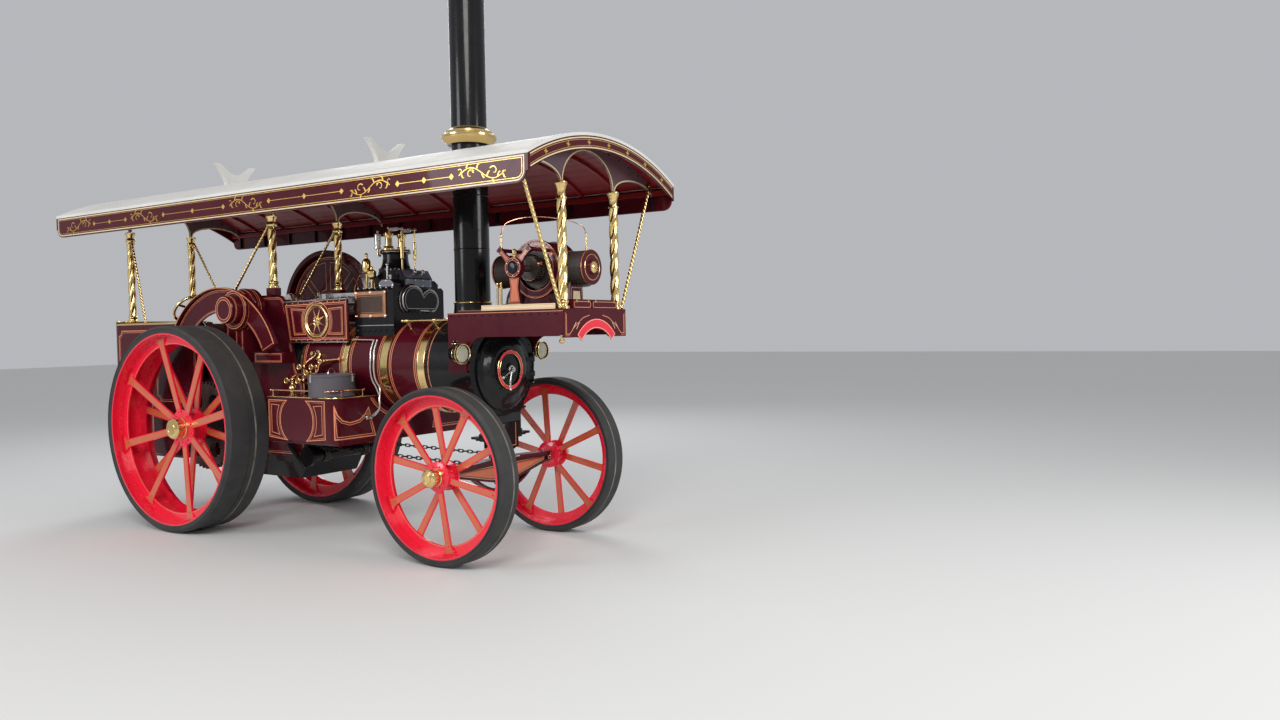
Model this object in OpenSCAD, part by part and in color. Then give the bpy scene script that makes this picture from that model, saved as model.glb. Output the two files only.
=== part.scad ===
// Showman's road locomotive: a steam traction engine with a full length canopy,
// a dynamo on a platform ahead of the chimney and rubber tyred road wheels.
// Lengths are in millimetres. Until at_origin() moves it, X runs forward from the
// rear axle, Y to the left and Z up from the ground.

/* [Layout] */
// Distance from the rear axle to the front axle
wheelbase = 3490; // [3440:10:3600]
// Height of the boiler's axis above the ground
boiler_z = 1705; // [1695:5:1715]
// Distance of the crankshaft ahead of the rear axle
crank_x = 500; // [480:5:520]
// Height of the crankshaft above the ground
crank_z = 2290; // [2280:5:2310]

/* [Rear wheels] */
// Outer diameter of the rear tyres
rear_d = 2136; // [2100:4:2160]
// Width of the rear tyres
rear_w = 460; // [420:10:480]
// Clearance between the tender's side and a rear wheel
rear_gap = 77; // [60:1:100]
// Thickness of the rear rubber
rear_rubber = 75; // [60:5:90]
// Spokes in each of the two rows of a rear wheel
rear_spokes = 8; // [6:1:10]

/* [Front wheels] */
// Outer diameter of the front tyres
front_d = 1550; // [1500:10:1560]
// Width of the front tyres
front_w = 230; // [200:10:240]
// Distance from the centre line to the middle of a front wheel
front_y = 805; // [800:1:830]
// Thickness of the front rubber
front_rubber = 65; // [50:5:80]
// Spokes of a front wheel
front_spokes = 10; // [8:2:12]

/* [Boiler] */
// Outer diameter of the lagged barrel and of the smokebox
barrel_d = 900; // [860:10:920]
// Distance of the lagged barrel's front end behind the front axle
barrel_back = 510; // [490:10:530]
// Reach of the smokebox ahead of the front axle
smokebox_reach = 40; // [10:10:70]
// Width of the polished boiler bands
band_w = 70; // [50:5:80]
// Diameter of the smokebox door
door_d = 760; // [700:10:780]

/* [Chimney] */
// Distance of the chimney behind the front axle
chimney_back = 310; // [270:10:330]
// Outer diameter of the chimney
chimney_d = 335; // [300:5:350]
// Height of the chimney's top with its extension on
chimney_top = 5700; // [5400:50:6000]
// Height of the joint between the chimney and its extension
collar_z = 3780; // [3760:10:3850]

/* [Canopy] */
// Rear end of the canopy
canopy_x0 = -1990; // [-2050:10:-1950]
// Reach of the canopy ahead of the front axle
canopy_reach = 1265; // [1230:5:1310]
// Overall width of the canopy
canopy_w = 2260; // [2200:10:2300]
// Height of the roof's crown
crown_z = 3685; // [3675:5:3710]
// Radius of the roof's curve
roof_r = 2420; // [2300:20:2600]
// Thickness of the roof boards
roof_t = 25; // [18:1:35]
// Depth of the side fascia boards
fascia_h = 215; // [180:5:240]
// Diameter of the twisted columns
column_d = 84; // [70:2:90]

/* [Tender] */
// Rear face of the tender
tender_x0 = -1850; // [-1880:5:-1820]
// Front face of the tender, where the hornplates carry it
tender_x1 = -210; // [-240:5:-200]
// Width of the tender
tender_w = 1240; // [1200:10:1250]
// Height of the tender's top edge
tender_top = 2170; // [2150:10:2200]
// Thickness of the tender's plates
plate_t = 16; // [10:1:20]

/* [Hidden] */
$fn = 128;

// Clearances: a shaft in its bore, two seated curved faces, and a moving piece past a fixed one
shaft_gap = 0.5;
seat_gap = 0.3;
move_gap = 12;

rear_r = rear_d / 2;
rear_y = tender_w / 2 + rear_gap + rear_w / 2;
front_r = front_d / 2;
barrel_r = barrel_d / 2;
chimney_r = chimney_d / 2;
column_r = column_d / 2;
roof_centre_z = crown_z - roof_r;
barrel_x1 = wheelbase - barrel_back;
smokebox_x1 = wheelbase + smokebox_reach;
chimney_x = wheelbase - chimney_back;
canopy_x1 = wheelbase + canopy_reach;

// Rear wheel
rear_rim_r = rear_r - rear_rubber;
rear_rim_t = 16;
rear_ring_depth = 100;
rear_row_y = 100;
rear_axle_r = 75;
rear_hub_in = 130;
rear_hub_out = 43;
rear_cap_r = 108;
rear_cap_l = 117;
gear_teeth = 48;
gear_r = 470;

// Front wheel and axle
front_rim_r = front_r - front_rubber;
front_rim_t = 14;
front_ring_depth = 92;
front_hub_in = 95;
front_hub_out = 70;
front_arm_r = 45;
front_cap_r = 78;
front_cap_l = 110;
axle_top = 66;
axle_low = 145;
axle_beam_w = 110;
kingpin_r = 45;
kingpin_x = wheelbase;
perch_bottom = front_r + 155;

// Firebox, hornplates and engine
firebox_x0 = 300;
firebox_x1 = 1250;
horn_y = 415;
horn_t = 16;
horn_top = 2440;
firebox_half = horn_y - horn_t / 2;
firebox_bottom = 700;
block_x0 = 1950;
block_x1 = 2480;
block_half = 345;
block_top = 2466;
valve_x = 2170;
smokebox_ring_r = 464;
door_z = boiler_z - 40;
hinge = [smokebox_x1 + 25, 420];
flywheel_r = 690;
flywheel_w = 150;
flywheel_y = 500;
crankshaft_r = 55;
bearing_r = 105;
motion_end = horn_y - 10;
cover_y = horn_y + horn_t / 2 + 7 + seat_gap;
band_t = 8;

// Steering
chain_y0 = 300;
chain_y1 = 385;
chain_r = 13;
roller_x = firebox_x1 + 80;
roller_z = 780;
roller_r = 60;
worm_r = 100;
column_y = -horn_y - 40;
helm = [-560, column_y, 2330];
helm_hub = 25;
steer_r = 22;
// The column runs from the helm past the worm wheel, at the worm's distance from its centre
steer_run = [roller_x - helm[0], roller_z - helm[2]];
steer_off = worm_r + steer_r + seat_gap;
steer_angle = atan2(steer_run[1], steer_run[0]) - asin(steer_off / norm(steer_run));
steer_way = [cos(steer_angle), 0, sin(steer_angle)];
steer_foot = helm + (sqrt(pow(norm(steer_run), 2) - pow(steer_off, 2)) + 50) * steer_way;

// Platform and dynamo
platform_x1 = wheelbase + 1100;
platform_half = 482;
platform_skirt = 230;
lamp_x = smokebox_x1 - 105;
lamp_y = platform_half + 95;
platform_top = 2205;
platform_t = 14;
dynamo_x = chimney_x + 870;
dynamo_z = platform_top + 365;
dynamo_r = 250;
spider_y = 440;

// Places of the three pairs of columns: x, half width, foot height
COLUMNS = [[platform_x1 - 60, 400, platform_top], [835, 430, horn_top + 72], [-1810, 390, tender_top + 30]];
frame_t = 14;
neck_r = column_r - 6;
cusp_z = 3265;
side_rise = 130;

// Moves what is built from the rear axle to the middle of the whole engine
module at_origin() translate([-(canopy_x0 + canopy_x1) / 2, 0, 0]) children();

// A cylinder along Y, centred on its place
module rod_y(r, w) rotate([90, 0, 0]) cylinder(r = r, h = w, center = true);

// A cylinder along X, from its place forward
module rod_x(r, l) rotate([0, 90, 0]) cylinder(r = r, h = l);

// A ring along Y, centred on its place
module ring_y(outer, inner, w) rotate([90, 0, 0]) difference() {
    cylinder(r = outer, h = w, center = true);
    cylinder(r = inner, h = w + 2, center = true);
}

// A round bar from one point to another
module bar(from, to, r) {
    d = to - from;
    translate(from) rotate([0, acos(d[2] / norm(d)), atan2(d[1], d[0])]) cylinder(r = r, h = norm(d));
}

// An outline in X and Z as a plate, y0 to y1
module plate_xz(points, y0, y1)
    translate([0, y1, 0]) rotate([90, 0, 0]) linear_extrude(y1 - y0) polygon(points);

// An outline in Y and Z as a plate, x0 to x1
module plate_yz(points, x0, x1)
    translate([x0, 0, 0]) rotate([90, 0, 90]) linear_extrude(x1 - x0) polygon(points);

// A turned shape: [radius, distance] along Y, and the same along X
module turned_y(points) rotate([-90, 0, 0]) rotate_extrude() polygon(points);
module turned_x(points) rotate([0, 90, 0]) rotate_extrude() polygon(points);

// What is built on the left, on the side asked for
module on_side(side) {
    if (side < 0) mirror([0, 1, 0]) children();
    else children();
}

// Height of the roof's underside at a distance from the centre line
function roof_under(y) = roof_centre_z + sqrt(pow(roof_r - roof_t, 2) - y * y);

// Height of the roof's top at a distance from the centre line
function roof_over(y) = roof_centre_z + sqrt(roof_r * roof_r - y * y);

// One spoke along +X: a flat bar whose rim end spreads in two hollow curves to a wide foot.
// It leans from y0 at the hub to y1 at the rim.
module spoke(r0, r1, y0, y1, w, foot_w, t) {
    spread = (foot_w - w) / 2;
    flare = [for (i = [0 : 5]) [r1 - 1.5 * spread * (1 - sin(18 * i)), w / 2 + spread * (1 - cos(18 * i))]];
    translate([r0, y0, 0]) rotate([0, 0, atan((y1 - y0) / (r1 - r0))]) translate([-r0, 0, 0])
        rotate([90, 0, 0]) linear_extrude(t, center = true) polygon([
            [r0, w / 2], for (p = flare) p,
            for (i = [5 : -1 : 0]) [flare[i][0], -flare[i][1]], [r0, -w / 2]]);
}

// Rear wheel: a wide rim on two T rings, each carrying a row of spokes; the outer row is dished
module rear_wheel(side) {
    ring_r = rear_rim_r - rear_rim_t;
    color("crimson") at_origin() on_side(side) translate([0, rear_y, rear_r]) difference() {
        union() {
            ring_y(rear_rim_r, ring_r, rear_w - 20);
            for (row = [-1, 1]) translate([0, row * rear_row_y, 0])
                ring_y(ring_r + 1, ring_r - rear_ring_depth, 14);
            turned_y([[0, -rear_hub_in], [135, -rear_hub_in], [190, -122], [190, -99], [152, -88], [136, -35],
                      [152, 10], [190, 19], [190, 37], [142, rear_hub_out], [0, rear_hub_out]]);
            for (i = [0 : rear_spokes - 1]) {
                rotate([0, (i + 0.72) * 360 / rear_spokes, 0])
                    spoke(105, ring_r - 25, 30, 112, 56, 172, 16);
                rotate([0, (i + 0.22) * 360 / rear_spokes, 0])
                    spoke(105, ring_r - 25, -113, -113, 56, 172, 16);
            }
        }
        rod_y(rear_axle_r + shaft_gap, rear_w);
    }
}

module rear_tyre(side) {
    edge = 22;
    groove = 12;
    half = rear_w / 2;
    color("dimgray") at_origin() translate([0, side * rear_y, rear_r]) rotate([90, 0, 0])
        rotate_extrude($fn = 96) polygon([
            [rear_rim_r + seat_gap, -half + 10], [rear_r - edge, -half], [rear_r, -half + edge],
            [rear_r, -groove / 2], [rear_r - groove, 0], [rear_r, groove / 2],
            [rear_r, half - edge], [rear_r - edge, half], [rear_rim_r + seat_gap, half - 10]]);
}

// A stepped brass cap, l long, standing out from its place on the left
module hub_cap(place, r, l, side) color("gold") at_origin() on_side(side) translate(place)
    turned_y([[0, 0], [r, 0], [r, l * 0.13], [r - 6, l * 0.18], [r - 6, l * 0.62], [r, l * 0.68],
              [r, l * 0.86], [r - 12, l * 0.95], [r * 0.5, l], [0, l]]);

module rear_hub_cap(side) hub_cap([0, rear_y + rear_hub_out, rear_r], rear_cap_r, rear_cap_l, side);

// Front wheel: one T ring, with the spokes set to its two faces in turn
module front_wheel(side) {
    ring_r = front_rim_r - front_rim_t;
    color("crimson") at_origin() on_side(side) translate([wheelbase, front_y, front_r]) difference() {
        union() {
            ring_y(front_rim_r, ring_r, front_w - 16);
            ring_y(ring_r + 1, ring_r - front_ring_depth, 14);
            turned_y([[0, -front_hub_in], [96, -front_hub_in], [132, -84], [132, -62], [100, -52], [92, 0],
                      [100, 28], [132, 38], [132, 58], [100, front_hub_out], [0, front_hub_out]]);
            for (i = [0 : front_spokes - 1]) {
                row = (i % 2 == 0) ? 1 : -1;
                rotate([0, (i + 0.3) * 360 / front_spokes, 0])
                    spoke(70, ring_r - 20, row > 0 ? 42 : -62, row * 12, 46, 136, 14);
            }
        }
        rod_y(front_arm_r + shaft_gap, front_w);
    }
}

module front_tyre(side) {
    edge = 24;
    half = front_w / 2;
    color("dimgray") at_origin() translate([wheelbase, side * front_y, front_r]) rotate([90, 0, 0])
        rotate_extrude($fn = 96) polygon([
            [front_rim_r + seat_gap, -half + 8], [front_r - edge, -half], [front_r, -half + edge],
            [front_r, half - edge], [front_r - edge, half], [front_rim_r + seat_gap, half - 8]]);
}

module front_hub_cap(side)
    hub_cap([wheelbase, front_y + front_hub_out, front_r], front_cap_r, front_cap_l, side);

// Front axle: a deep tapered beam with round arms, hung on the kingpin under the perch bracket
module front_axle() {
    inner = front_y - front_hub_in - 4;
    arm_end = front_y + front_hub_out - 2;
    bow = [for (i = [-8 : 8]) [i * 51, -245 + 150 * pow(abs(i) / 8, 2.2)]];
    color("maroon") at_origin() translate([wheelbase, 0, front_r]) difference() {
        union() {
            for (side = [-1, 1]) {
                translate([0, side * (inner - 20 + arm_end) / 2, 0]) rod_y(front_arm_r, arm_end - inner + 20);
                translate([0, side * (inner - 30), 0]) cube([100, 60, 88], center = true);
            }
            plate_yz([[-inner + 20, 44], [-200, axle_top], [200, axle_top], [inner - 20, 44],
                      [inner - 20, 2], [200, 10], [-200, 10], [-inner + 20, 2]], -axle_beam_w / 2, axle_beam_w / 2);
            plate_yz([[-inner + 20, 12], [inner - 20, 12], [inner - 20, -44], [620, -52], [180, -axle_low],
                      [-180, -axle_low], [-620, -52], [-inner + 20, -44]], -32, 32);
            plate_yz([[inner - 20, -44], [620, -52], [180, -axle_low], [-180, -axle_low], [-620, -52],
                      [-inner + 20, -44], [-inner + 20, -30], [-620, -34], [-180, -axle_low + 18],
                      [180, -axle_low + 18], [620, -34], [inner - 20, -30]], -50, 50);
            plate_yz([for (p = bow) p, for (i = [16 : -1 : 0]) bow[i] + [0, 24]], -35, 35);
            translate([0, 0, -axle_low]) cylinder(r = 105, h = perch_bottom - front_r + axle_low - move_gap);
        }
        translate([0, 0, -axle_low - 50]) cylinder(r = kingpin_r + shaft_gap, h = 500);
        translate([0, 0, -axle_low - 45]) cylinder(r = 110, h = 44.9);
    }
}

// Perch bracket: a waisted casting from the smokebox down to the kingpin, with the spring
// and its two pillars across it
module perch_bracket() color("#1b1b1d") at_origin() {
    translate([kingpin_x, 0, 0]) difference() {
        union() {
            intersection() {
                plate_xz([[-210, 1460], [-210, 1300], [-130, 1190], [-105, 1080], [-105, perch_bottom],
                          [105, perch_bottom], [105, 1080], [105, 1180], [38, 1250], [38, 1460]], -400, 400);
                plate_yz([[-300, 1460], [-300, 1300], [-180, 1200], [-125, 1090], [-125, perch_bottom],
                          [125, perch_bottom], [125, 1090], [180, 1200], [300, 1300], [300, 1460]], -300, 300);
            }
            translate([-50, -330, 1282]) cube([88, 660, 20]);
            translate([-80, -330, 1040]) cube([160, 660, 22]);
            for (i = [0 : 3]) translate([-42, -312 + 55 * i, 1026 - 14 * i]) cube([84, 624 - 110 * i, 14.5]);
            for (side = [-1, 1]) translate([0, side * 270, 0]) {
                translate([0, 0, 1050]) cylinder(r = 17, h = 270);
                for (z = [1062, 1260]) translate([0, 0, z]) cylinder(r = 31, h = 22.5, $fn = 6);
            }
        }
        translate([-kingpin_x, 0, boiler_z]) rod_x(barrel_r + seat_gap, 5000);
        translate([smokebox_x1 - 60 - kingpin_x, 0, boiler_z]) rod_x(smokebox_ring_r + seat_gap, 400);
    }
    translate([kingpin_x, 0, perch_bottom - 1]) mirror([0, 0, 1]) cylinder(r = 130, h = move_gap - 6);
    translate([kingpin_x, 0, front_r - axle_low - 40])
        cylinder(r = kingpin_r, h = perch_bottom - front_r + axle_low + 45);
    translate([kingpin_x, 0, front_r - axle_low - 40]) cylinder(r = 75, h = 34);
}

module boiler() color("#3a0a12") at_origin()
    translate([firebox_x1, 0, boiler_z]) rod_x(barrel_r, barrel_x1 - firebox_x1);

// Bands: place of each along the barrel, and its width
BANDS = [[1872, band_w], [2398, band_w + 20], [barrel_x1 - band_w - 30, band_w + 20]];
module boiler_bands() color("gold") at_origin() difference() {
    for (b = BANDS) translate([b[0], 0, boiler_z]) rotate([0, 90, 0]) difference() {
        cylinder(r = barrel_r + band_t, h = b[1]);
        translate([0, 0, -1]) cylinder(r = barrel_r + seat_gap, h = b[1] + 2);
    }
    translate([block_x0 - 1, -block_half - 1, boiler_z]) cube([block_x1 - block_x0 + 40, 2 * block_half + 2, 900]);
}

// Firebox: straight sides, a round top, and the ashpan below
module firebox() color("#1b1b1d") at_origin() {
    translate([firebox_x0, 0, boiler_z]) rotate([90, 0, 90]) linear_extrude(firebox_x1 - firebox_x0)
        union() {
            circle(r = firebox_half);
            translate([-firebox_half, firebox_bottom - boiler_z])
                square([2 * firebox_half, boiler_z - firebox_bottom]);
        }
    plate_xz([[firebox_x0 + 40, firebox_bottom], [firebox_x0 + 140, firebox_bottom - 170],
              [firebox_x1 - 140, firebox_bottom - 170], [firebox_x1 - 40, firebox_bottom]],
             -firebox_half + 40, firebox_half - 40);
}

// Smokebox, with the front ring and the two lugs and the pin the door hangs on
module smokebox() color("#1b1b1d") at_origin() {
    translate([barrel_x1, 0, boiler_z]) rod_x(barrel_r, smokebox_x1 - barrel_x1);
    translate([smokebox_x1 - 40, 0, boiler_z]) rod_x(smokebox_ring_r, 40);
    for (z = [-140, 116]) translate([smokebox_x1 - 1, hinge[1] - 14, door_z + z]) cube([40, 28, 24]);
    translate([hinge[0], hinge[1], door_z - 138]) cylinder(r = 9, h = 276);
}

// Dished door with a raised ring, on straps whose knuckles turn on the pin at its left side
module smokebox_door() color("#1b1b1d") at_origin() difference() {
    union() {
        translate([smokebox_x1 + seat_gap, 0, door_z]) turned_x([
            [0, 0], [door_d / 2, 0], [door_d / 2, 18], [door_d / 2 - 14, 26], [door_d / 2 - 40, 30],
            for (i = [0 : 4]) [(door_d / 2 - 60) - (door_d / 2 - 250) * i / 4, 34 + 34 * sin(22.5 * i)],
            [184, 70], [182, 86], [150, 90], [146, 74], [60, 80], [52, 96], [0, 96]]);
        for (z = [-82, 58]) {
            translate([hinge[0], hinge[1], door_z + z]) cylinder(r = 19, h = 50);
            translate([hinge[0] + 2, 210, door_z + z + 6]) cube([16, hinge[1] - 210, 38]);
        }
    }
    translate([hinge[0], hinge[1], door_z - 200]) cylinder(r = 9 + shaft_gap, h = 400);
}

// Chimney: a saddle on the smokebox, drawn in by a hollow curve to the barrel
module chimney() color("#1b1b1d") at_origin() translate([chimney_x, 0, 0]) difference() {
    translate([0, 0, boiler_z]) rotate_extrude() polygon([
        [chimney_r - 12, 300], [202, 300], [202, barrel_r + 10], [197, barrel_r + 16],
        for (i = [0 : 6]) [chimney_r + 9 + 18 * (1 - sin(15 * i)), barrel_r + 22 + 105 * (1 - cos(15 * i))],
        [chimney_r + 9, barrel_r + 142], [chimney_r, barrel_r + 148],
        [chimney_r, collar_z - boiler_z], [chimney_r - 12, collar_z - boiler_z]]);
    translate([-chimney_x, 0, boiler_z]) rod_x(barrel_r + seat_gap, 5000);
}

// Extension: the collar at the joint above the roof, the tube, and the flared cap
module chimney_extension() color("#2a2a2e") at_origin() translate([chimney_x, 0, 0])
    rotate_extrude() polygon([
        [chimney_r - 12, collar_z], [chimney_r + 35, collar_z], [250, collar_z + 48], [258, collar_z + 60],
        [258, collar_z + 84], [228, collar_z + 100], [222, collar_z + 122],
        [chimney_r + 10, collar_z + 144], [chimney_r, collar_z + 156], [chimney_r, chimney_top - 300],
        [chimney_r + 10, chimney_top - 296], [chimney_r + 10, chimney_top - 268],
        for (i = [0 : 6]) [chimney_r + 2 + 62 * (1 - cos(15 * i)), chimney_top - 262 + 200 * sin(15 * i)],
        [chimney_r + 76, chimney_top - 54], [chimney_r + 76, chimney_top - 34], [chimney_r + 50, chimney_top - 18],
        [chimney_r + 26, chimney_top], [chimney_r - 12, chimney_top]]);

// Platform ahead of the chimney: a tray whose side plates reach back past the smokebox,
// an arched front plate and two low boxes along its front edge
module dynamo_platform() color("#4a0d18") at_origin() {
    x0 = smokebox_x1 - 230;
    under = platform_top - platform_t;
    low = platform_top - platform_skirt;
    plate = 12;
    arch_z = boiler_z + 30;
    deck_x0 = chimney_x + chimney_r + 60;
    translate([deck_x0, -platform_half, under]) cube([platform_x1 - deck_x0, 2 * platform_half, platform_t]);
    for (side = [-1, 1]) translate([0, side * (platform_half - plate / 2), 0]) {
        plate_xz([[x0, under + 1], [x0, boiler_z - 50], [smokebox_x1 - 20, boiler_z - 50],
                  for (i = [0 : 8]) [smokebox_x1 + 170 - 190 * cos(11.25 * i),
                                     arch_z + (low - arch_z) * sin(11.25 * i)],
                  [platform_x1 - 60, low], [platform_x1 - 20, low + 14], [platform_x1 - 2, low + 60],
                  [platform_x1 - 2, under + 1]], -plate / 2, plate / 2);
        pack_t = platform_half - plate - smokebox_ring_r - seat_gap;
        translate([smokebox_x1 - 20, -side * (plate + pack_t - 1) / 2, boiler_z])
            cube([38, pack_t + 1, 60], center = true);
    }
    difference() {
        translate([platform_x1 - plate, -platform_half + 2, low - 14])
            cube([plate, 2 * platform_half - 4, platform_skirt + 13]);
        translate([platform_x1 - 50, 0, arch_z]) rod_x(300, 100);
    }
    for (box = [[-338, 272], [-54, 392]])
        translate([platform_x1 - 62, box[0], platform_top - 1]) cube([60, box[1], 74]);
}

// Dynamo: a round yoke on a foot, a field coil ahead of and behind it, and at each side a
// spider that carries the bearing
module dynamo() color("#4a0d18") at_origin() translate([dynamo_x, 0, dynamo_z]) {
    foot = dynamo_z - platform_top;
    ring_y(dynamo_r, dynamo_r - 60, 300);
    for (side = [-1, 1]) translate([0, side * 135, 0]) ring_y(dynamo_r + 12, dynamo_r - 20, 28);
    for (turn = [0, 180]) rotate([0, 0, turn]) {
        translate([dynamo_r - 8, 0, 0])
            turned_x([[0, 0], [104, 0], [104, 40], [154, 44], [154, 60], [146, 62], [146, 244], [154, 246],
                      [154, 262], [70, 266], [62, 284], [0, 284]]);
        plate_yz([[-130, -foot], [130, -foot], [100, -foot + 60], [90, -120], [-90, -120], [-100, -foot + 60]],
                 310, 336);
    }
    plate_xz([[-230, -foot], [230, -foot], [230, -foot + 26], [150, -foot + 40], [120, -dynamo_r + 30],
              [-120, -dynamo_r + 30], [-150, -foot + 40], [-230, -foot + 26]], -140, 140);
    for (side = [-1, 1]) difference() {
        union() {
            translate([0, side * spider_y, 0]) turned_y([[0, -30], [88, -30], [88, -18], [76, -14], [76, 14],
                                                       [88, 18], [88, 30], [0, 30]]);
            for (a = [-45, -135]) rotate([0, a, 0]) {
                plate_xz([[60, -34], [150, -22], [210, -24], [244, -32], [244, 32], [210, 24], [150, 22], [60, 34]],
                         side * spider_y - 12, side * spider_y + 12);
                translate([221, side * (spider_y + 149) / 2 + side * 8, 0]) rod_y(17, spider_y - 149 + 18);
            }
            plate_xz([[-130, -foot], [130, -foot], [130, -foot + 20], [62, -foot + 60], [44, -170], [60, -40],
                      [-60, -40], [-44, -170], [-62, -foot + 60], [-130, -foot + 20]],
                     side * spider_y - 12, side * spider_y + 12);
            translate([-130, side * spider_y - 32, -foot]) cube([260, 64, 20]);
        }
        rod_y(30 + shaft_gap, 1200);
    }
}

// Armature with its commutator, and the pulley in line with the flywheel
module dynamo_armature() color("#2a2a2e") at_origin() translate([dynamo_x, 0, dynamo_z]) {
    turned_y([[0, -485], [30, -485], [30, -250], [105, -248], [105, -150], [60, -146], [60, -132], [168, -128],
              [168, 128], [60, 132], [60, 160], [30, 164], [30, 644], [0, 644]]);
    pulley_y = flywheel_y + flywheel_w / 2;
    translate([0, pulley_y, 0]) turned_y([[29, -60], [52, -60], [52, -12], [112, -10], [112, -66], [136, -66],
                                          [141, 0], [136, 66], [112, 66], [112, 10], [52, 12], [52, 60], [29, 60]]);
}

// Cylinder block: the saddle and its side walls, the chest on top, the pedestal for the valves
module cylinder_block() color("#1b1b1d") at_origin() difference() {
    union() {
        plate_yz([[-block_half, boiler_z + 260], [-block_half, block_top - 26], [-block_half + 26, block_top],
                  [block_half - 26, block_top], [block_half, block_top - 26], [block_half, boiler_z + 260]],
                 block_x0, block_x1);
        plate_xz([[block_x0 + 40, block_top - 10], [block_x0 + 40, block_top + 60], [block_x0 + 90, block_top + 100],
                  [block_x0 + 260, block_top + 176], [block_x1 - 60, block_top + 176],
                  [block_x1 - 2, block_top + 90], [block_x1 - 2, block_top - 10]], -190, 190);
        for (side = [-1, 1]) plate_xz([[block_x1 - 240, block_top - 10], [block_x1 - 240, block_top + 50],
            [block_x1 - 200, block_top + 80], [block_x1 - 80, block_top + 80], [block_x1 - 30, block_top + 40],
            [block_x1 - 30, block_top - 10]], side > 0 ? 185 : -300, side > 0 ? 300 : -185);
        translate([valve_x, 0, 0]) rotate_extrude() polygon([
            [0, block_top - 10], [215, block_top - 10], [215, block_top + 24], [196, block_top + 44],
            [176, block_top + 120], for (i = [0 : 5]) [166 - 42 * sin(18 * i), block_top + 330 - 130 * cos(18 * i)],
            [124, block_top + 340], [150, block_top + 352], [150, block_top + 384], [0, block_top + 384]]);
        for (side = [-1, 1]) translate([block_x0 + 40, side * 115, block_top - 136]) mirror([1, 0, 0])
            turned_x([[0, 0], [66, 0], [66, 52], [56, 58], [44, 96], [0, 96]]);
    }
    translate([0, 0, boiler_z]) rod_x(barrel_r + seat_gap, 5000);
    for (side = [-1, 1]) translate([block_x0 - 100, side * 115, block_top - 136]) rod_x(20 + shaft_gap, 82);
}

// Front cover of the two cylinders: one plate with two lobes and a flat foot
module cylinder_cover() color("silver") at_origin() translate([block_x1 + seat_gap, 0, 0]) {
    lobes = [[-110, block_top - 126, 158], [120, block_top - 131, 127]];
    difference() {
        union() for (c = lobes) translate([0, c[0], c[1]])
            turned_x([[0, 0], [c[2], 0], [c[2], 20], [c[2] - 14, 28], [c[2] - 22, 28], [c[2] - 26, 38],
                      [c[2] * 0.55, 44], [c[2] * 0.5, 40], [0, 40]]);
        translate([-10, -400, block_top - 500]) cube([100, 800, 254]);
    }
}

module safety_valves() color("gold") at_origin() for (y = [-88, 88])
    translate([valve_x, y, block_top + 384 + seat_gap]) rotate_extrude() polygon([
        [0, 0], [60, 0], [60, 12], [44, 20], [38, 40], [34, 120], [40, 134], [47, 146], [47, 164], [36, 172],
        [16, 182], [10, 214], [14, 222], [6, 236], [0, 250]]);

// Side covers over the motion, with a slanted rear end
module motion_covers() color("#4a0d18") at_origin() for (side = [-1, 1])
    plate_xz([[990, 2335], [1000, 2350], [block_x0 - 4, 2362], [block_x0 - 4, 1950], [1068, 1950], [1058, 1960]],
             side * cover_y - 7, side * cover_y + 7);

// Crankshaft with two cranks, and for each its rod, crosshead, slide bars, and eccentrics
module motion() color("silver") at_origin() {
    throw = 125;
    rod_l = 820;
    line_z = block_top - 136;
    CRANKS = [[-115, 20], [115, 110]];
    for (s = [-1, 1]) translate([crank_x, s * (motion_end + 190) / 2, crank_z]) rod_y(crankshaft_r, motion_end - 190);
    translate([crank_x, 0, crank_z]) rod_y(crankshaft_r, 70);
    for (c = CRANKS) {
        pin = [crank_x + throw * cos(c[1]), c[0], crank_z + throw * sin(c[1])];
        head_x = pin[0] + sqrt(rod_l * rod_l - pow(line_z - pin[2], 2));
        translate([crank_x, c[0], crank_z]) rotate([0, -c[1], 0]) {
            for (s = [-1, 1]) plate_xz([[-110, -60], [-80, -75], [150, -62], [182, -40], [182, 40], [150, 62], [-80, 75],
                                        [-110, 60]], s > 0 ? 38 : -80, s > 0 ? 80 : -38);
            translate([throw, 0, 0]) rod_y(44, 90);
        }
        translate(pin) rod_y(72, 72);
        bar(pin, [head_x, c[0], line_z], 26);
        translate([head_x, c[0], line_z]) {
            rod_y(46, 66);
            translate([35, 0, 0]) cube([150, 60, 104], center = true);
            rod_x(20, block_x0 - head_x - 20);
            for (s = [-1, 1]) translate([0, 0, s * 62]) cube([190, 84, 24], center = true);
        }
        for (s = [-1, 1]) translate([1190, c[0] - 30, line_z + s * 92 - 18]) cube([block_x0 - 1191, 60, 36]);
        out = c[0] > 0 ? 1 : -1;
        for (k = [0, 1]) {
            sheave = [crank_x + 34 * cos(c[1] + 90 + 130 * k), out * (245 + 62 * k), crank_z + 34 * sin(c[1] + 90 + 130 * k)];
            translate(sheave) rod_y(104, 40);
            bar(sheave, [1480, sheave[1], line_z + (k == 0 ? 70 : -70)], 13);
        }
        translate([1480, out * 276, line_z]) cube([56, 104, 200], center = true);
        translate([1500, out * 276, line_z]) rod_x(14, block_x0 - 1501);
    }
}

module crankshaft_bearings() color("#1b1b1d") at_origin() for (side = [-1, 1])
    translate([crank_x, side * (horn_y + 8), crank_z]) ring_y(bearing_r, crankshaft_r + shaft_gap, 60);

module flywheel() color("#4a0d18") at_origin() translate([crank_x, 0, crank_z]) {
    translate([0, flywheel_y + flywheel_w / 2, 0]) {
        ring_y(flywheel_r, flywheel_r - 50, flywheel_w);
        ring_y(flywheel_r - 49, 119, 16);
        rod_y(120, flywheel_w);
    }
    translate([0, (motion_end + 2 + flywheel_y + 1) / 2, 0])
        rod_y(crankshaft_r, flywheel_y - motion_end - 1);
}

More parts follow.
